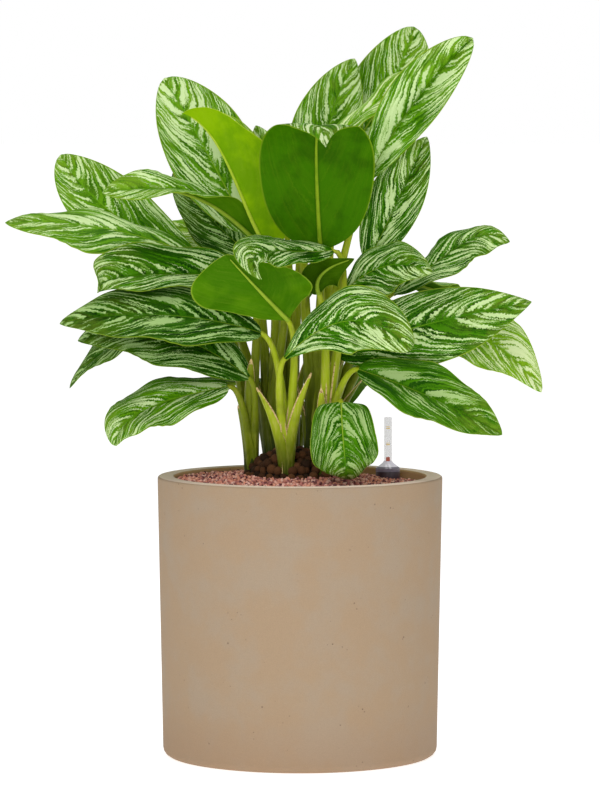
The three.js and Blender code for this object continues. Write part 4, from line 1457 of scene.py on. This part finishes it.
@dataclass
class Stalks:
    """The canes, the leaf stalks, sheathed at their foot, and the old sheaths. Sizes in millimetres."""

    cane_foot: float = 9.5
    cane_neck: float = 6.5
    root: float = 8.4
    neck: float = 2.9
    rise: float = 0.34
    entry: float = 0.16
    wing: float = 2.2
    sheath: float = 0.55
    sheath_root: float = 9.4
    sheath_tip: float = 4.6
    sheath_rise: float = 0.5
    sheath_wall: float = 1.3
    rings: int = 34
    around: int = 32

    def root_of(self, shoot: str, at: float) -> tuple[np.ndarray, np.ndarray]:
        """Give the place on a cane at a height, and the cane's direction."""
        foot, neck = (np.array(p, float) for p in CANES[shoot])
        return foot + (neck - foot) * (at - foot[2]) / (neck[2] - foot[2]), (neck - foot) / np.linalg.norm(neck - foot)

    def curve(self, leaf: Leaf) -> Curve:
        """Give the run of one stalk from its cane to its leaf.

        Args:
            leaf: The leaf that it carries.

        Returns:
            The curve.
        """
        root, up = self.root_of(leaf.shoot, leaf.at)
        rib = Curve.through(leaf.rib)
        entry = rib.along(np.array(0.0))
        end = rib.at(np.array(0.0)) + entry * 1.5
        reach = np.linalg.norm(end - root)
        return Curve(np.array([root, root + up * reach * self.rise, end - entry * reach * self.entry, end]))

    def build_stalk(self, leaf: Leaf) -> bpy.types.Object:
        """Skin one stalk; its foot is wrapped in a sheath with two thin margins that close to a point.

        Args:
            leaf: The leaf that it carries.

        Returns:
            The stalk, with the attributes along and dry.
        """
        curve = self.curve(leaf)
        share = curve.even(self.rings)
        run = np.linspace(0, 1, self.rings)
        centre, tangent = curve.at(share), curve.along(share)
        foot, neck = (np.array(p, float) for p in CANES[leaf.shoot])
        inward = (foot + neck) / 2 - centre[self.rings // 3]
        inward = inward * np.array([1.0, 1.0, 0.0]) + np.array([0.0, -14.0, 0.0])
        face, over = across(tangent, inward)
        turns = np.linspace(-np.pi, np.pi, self.around, endpoint=False)
        open_to = np.clip(1 - run / self.sheath, 0, 1)
        spread = 0.35 + 0.55 * open_to ** 0.6
        apart = (np.abs(turns)[None] - spread[:, None])
        margin = np.exp(-(apart / 0.2) ** 2) * np.clip(open_to * 6, 0, 1)[:, None]
        groove = np.exp(-(turns[None] / (0.8 * spread[:, None])) ** 2) * np.clip(open_to * 3, 0, 1)[:, None]
        core = self.root + (self.neck - self.root) * run ** 0.95
        radius = core[:, None] * (1 - 0.22 * groove) + self.wing * margin * (0.35 + 0.65 * open_to)[:, None]
        stalk = skinned(f"stalk_{leaf.name}", hoops(centre, face, over, radius, turns) * MM)
        mark_points(stalk, "along", np.concatenate([np.repeat(run, self.around), [0, 1]]))
        old = 0.9 if foot[1] < -20 else 0.42
        mark_points(stalk, "dry", np.concatenate([old * margin.ravel(), [0, 0]]))
        smooth(stalk, 80)
        return stalk

    def build_cane(self, name: str) -> bpy.types.Object:
        """Shape one cane from a cylinder, ringed where old leaves stood.

        Args:
            name: The shoot's letter.

        Returns:
            The cane, with the attributes along and dry.
        """
        foot, neck = (np.array(p, float) for p in CANES[name])
        clear_selection()
        bpy.ops.mesh.primitive_cylinder_add(vertices=24, radius=1.0, depth=2.0)
        cane = fresh(f"cane_{name}")
        bpy.ops.object.mode_set(mode="EDIT")
        for level in np.linspace(-0.9, 0.9, 19):
            bpy.ops.mesh.select_all(action="SELECT")
            bpy.ops.mesh.bisect(plane_co=(0, 0, float(level)), plane_no=(0, 0, 1))
        bpy.ops.object.mode_set(mode="OBJECT")
        run = np.array([(v.co.z + 1) / 2 for v in cane.data.vertices])
        for vertex, share in zip(cane.data.vertices, run):
            radius = self.cane_foot + (self.cane_neck - self.cane_foot) * share
            radius *= (1 + 0.05 * math.cos(2 * math.pi * share * 4)) * (1 - 0.8 * max(0.0, share - 0.8) / 0.2)
            middle = foot + (neck - foot) * share
            vertex.co = Vector(((middle[0] + radius * vertex.co.x) * MM, (middle[1] + radius * vertex.co.y) * MM,
                                middle[2] * MM))
        mark_points(cane, "along", run * 0.25)
        mark_points(cane, "dry", 0.5 * (np.cos(2 * np.pi * run * 4) > 0.9))
        smooth(cane, 50)
        return cane

    def build_sheath(self, name: str, shoot: str, at: float, tip: Point) -> bpy.types.Object:
        """Skin one old sheath: a curved strip that hugs its cane and closes to a point, with dry margins.

        Args:
            name: The piece's name.
            shoot: The letter of its shoot.
            at: The height where it leaves its cane.
            tip: Where it ends.

        Returns:
            The sheath, with the attributes along and dry.
        """
        root, up = self.root_of(shoot, at)
        end = np.array(tip, float)
        curve = Curve(np.array([root, root + up * np.linalg.norm(end - root) * self.sheath_rise, end]))
        run = np.linspace(0, 1, self.rings)
        share = curve.even(self.rings)
        centre, tangent = curve.at(share), curve.along(share)
        lean = (end - root) * np.array([1.0, 1.0, 0.0]) + np.array([0.0, -6.0, 0.0])
        face, over = across(tangent, lean)
        wide = (2.5 - 1.5 * run ** 2) * np.sqrt(np.clip(1.02 - run ** 6, 0.02, 1))
        turns = np.linspace(-1, 1, self.around // 2)
        outer = self.sheath_root + (self.sheath_tip - self.sheath_root) * run
        angle = turns[None] * wide[:, None]
        arcs = [hoops(centre, face, over, reach[:, None], side)
                for reach, side in ((outer, angle), (outer - self.sheath_wall, angle[:, ::-1] * 0.94))]
        sheath = skinned(name, np.concatenate(arcs, axis=1) * MM)
        rim = np.clip((np.abs(np.concatenate([turns, turns[::-1]])) - 0.72) / 0.2, 0, 1)
        dry = np.maximum(rim[None] * np.ones((self.rings, 1)), np.clip((run[:, None] - 0.93) / 0.05, 0, 1))
        mark_points(sheath, "along", np.concatenate([np.repeat(run * 0.6, 2 * len(turns)), [0, 0.6]]))
        mark_points(sheath, "dry", np.concatenate([dry.ravel(), [0, 1]]))
        smooth(sheath, 60)
        return sheath

    def dress(self, piece: bpy.types.Object, shoot: str, material: bpy.types.Material) -> None:
        """Give a stalk, sheath or cane its finish and its place.

        Args:
            piece: The stalk or cane.
            shoot: The letter of its shoot.
            material: The stalk's material.
        """
        piece.data.materials.append(material)
        settle(piece, (f"shoot_{shoot}",))


@dataclass
class Studio:
    """Plain pale studio: a floor, soft lights and the camera at the photograph's angle. Sizes in metres."""

    eye: Point = (0.0, -4.7, 0.724)
    pitch: float = 86.202
    lens: float = 183.1
    floor_size: float = 400.0
    paper: float = 0.9
    paper_glow: float = 0.68
    ambient: float = 0.42
    aim: Point = (0.0, 0.0, 0.45)
    lights: tuple[tuple[str, Point, float, float], ...] = (
        ("key", (-1.3, -2.8, 2.6), 1.4, 26.0),
        ("fill", (2.0, -2.6, 1.5), 1.8, 9.0),
        ("front", (-0.5, -3.2, 1.15), 0.8, 12.0),
        ("top", (0.2, 0.2, 2.9), 1.6, 26.0),
    )

    def build(self) -> None:
        """Lay the floor and set up the lights, the world and the camera."""
        clear_selection()
        bpy.ops.mesh.primitive_plane_add(size=self.floor_size)
        floor = fresh("studio_floor")
        material, _, shader = new_material("studio_paper")
        shader.inputs["Base Color"].default_value = (self.paper, self.paper, self.paper, 1.0)
        shader.inputs["Roughness"].default_value = 0.9
        shader.inputs["Emission Color"].default_value = (1.0, 1.0, 1.0, 1.0)
        shader.inputs["Emission Strength"].default_value = self.paper_glow
        floor.data.materials.append(material)
        for light in self.lights:
            self.add_light(*light)
        world = bpy.data.worlds.new("studio_world")
        bpy.context.scene.world = world
        world.use_nodes = True
        backdrop = world.node_tree.nodes["Background"]
        backdrop.inputs["Color"].default_value = (1.0, 1.0, 1.0, 1.0)
        graph = Graph(world.node_tree)
        seen = graph.node("LightPath").outputs["Is Camera Ray"]
        graph.feed(backdrop.inputs["Strength"], graph.math("MULTIPLY_ADD", seen, 1.0 - self.ambient, self.ambient))
        bpy.context.scene.view_settings.view_transform = "Standard"
        clear_selection()
        bpy.ops.object.camera_add(location=self.eye, rotation=(math.radians(self.pitch), 0.0, 0.0))
        camera = bpy.context.active_object
        camera.data.lens = self.lens
        camera.data.sensor_width = 36.0
        camera.data.clip_end = 200.0
        bpy.context.scene.camera = camera

    def add_light(self, name: str, place: Point, size: float, power: float) -> None:
        """Add one soft square light aimed at the plant.

        Args:
            name: The light's name.
            place: Where it hangs.
            size: The length of its side.
            power: Its power in watts.
        """
        clear_selection()
        bpy.ops.object.light_add(type="AREA", location=place)
        light = bpy.context.active_object
        light.name = f"studio_{name}"
        light.data.size = size
        light.data.energy = power
        light.rotation_euler = (Vector(self.aim) - Vector(place)).to_track_quat("-Z", "Y").to_euler()


def main() -> None:
    """Build and dress every sub-assembly in order."""
    logging.basicConfig(level=logging.INFO, format="%(name)s: %(message)s")
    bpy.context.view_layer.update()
    grain, veins = grain_group(), SideVeins().group()
    Studio().build()
    pot = StonePot()
    pot.dress(pot.build(), StoneFinish(grain).material())
    bed = GranuleBed()
    red, brown = ("5e3840", "c07a74", "f2a488", "ffd2c2"), ("140c06", "342010", "4e301a", "6c4628")
    bed.dress(bed.build(), ClayFinish("red_granules", red, grain).material())
    mound = PebbleMound()
    mound.dress(mound.build(), ClayFinish("brown_pebbles", brown, grain, 1500.0).material())
    culture = PlasticFinish("inner_pot_plastic", "3c343a", "4a4248", grain, 0.55).material()
    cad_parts["culture_pot"].data.materials.clear()
    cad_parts["culture_pot"].data.materials.append(culture)
    gauge = WaterGauge()
    gauge.dress(gauge.build_sleeve(), gauge.build_head(), gauge.build_marks(), gauge.build_float(), grain)
    stalks, green = Stalks(), StalkFinish().material("fleshy_stalk")
    for shoot in CANES:
        stalks.dress(stalks.build_cane(shoot), shoot, green)
    for number, (shoot, at, tip) in enumerate(SHEATHS):
        stalks.dress(stalks.build_sheath(f"sheath_{shoot}_{number}", shoot, at, tip), shoot, green)
    finishes = {}
    for tone in Tone:
        skin = LeafFinish(tone, veins)
        finishes[tone] = (skin.upper(), skin.under(), skin.rib())
    blades = Blades()
    for number, leaf in enumerate(LEAVES):
        stalks.dress(stalks.build_stalk(leaf), leaf.shoot, green)
        blades.dress(blades.build(leaf, number * 0.618 % 1, finishes[leaf.tone]), leaf, number)


if __name__ == "__main__":
    main()
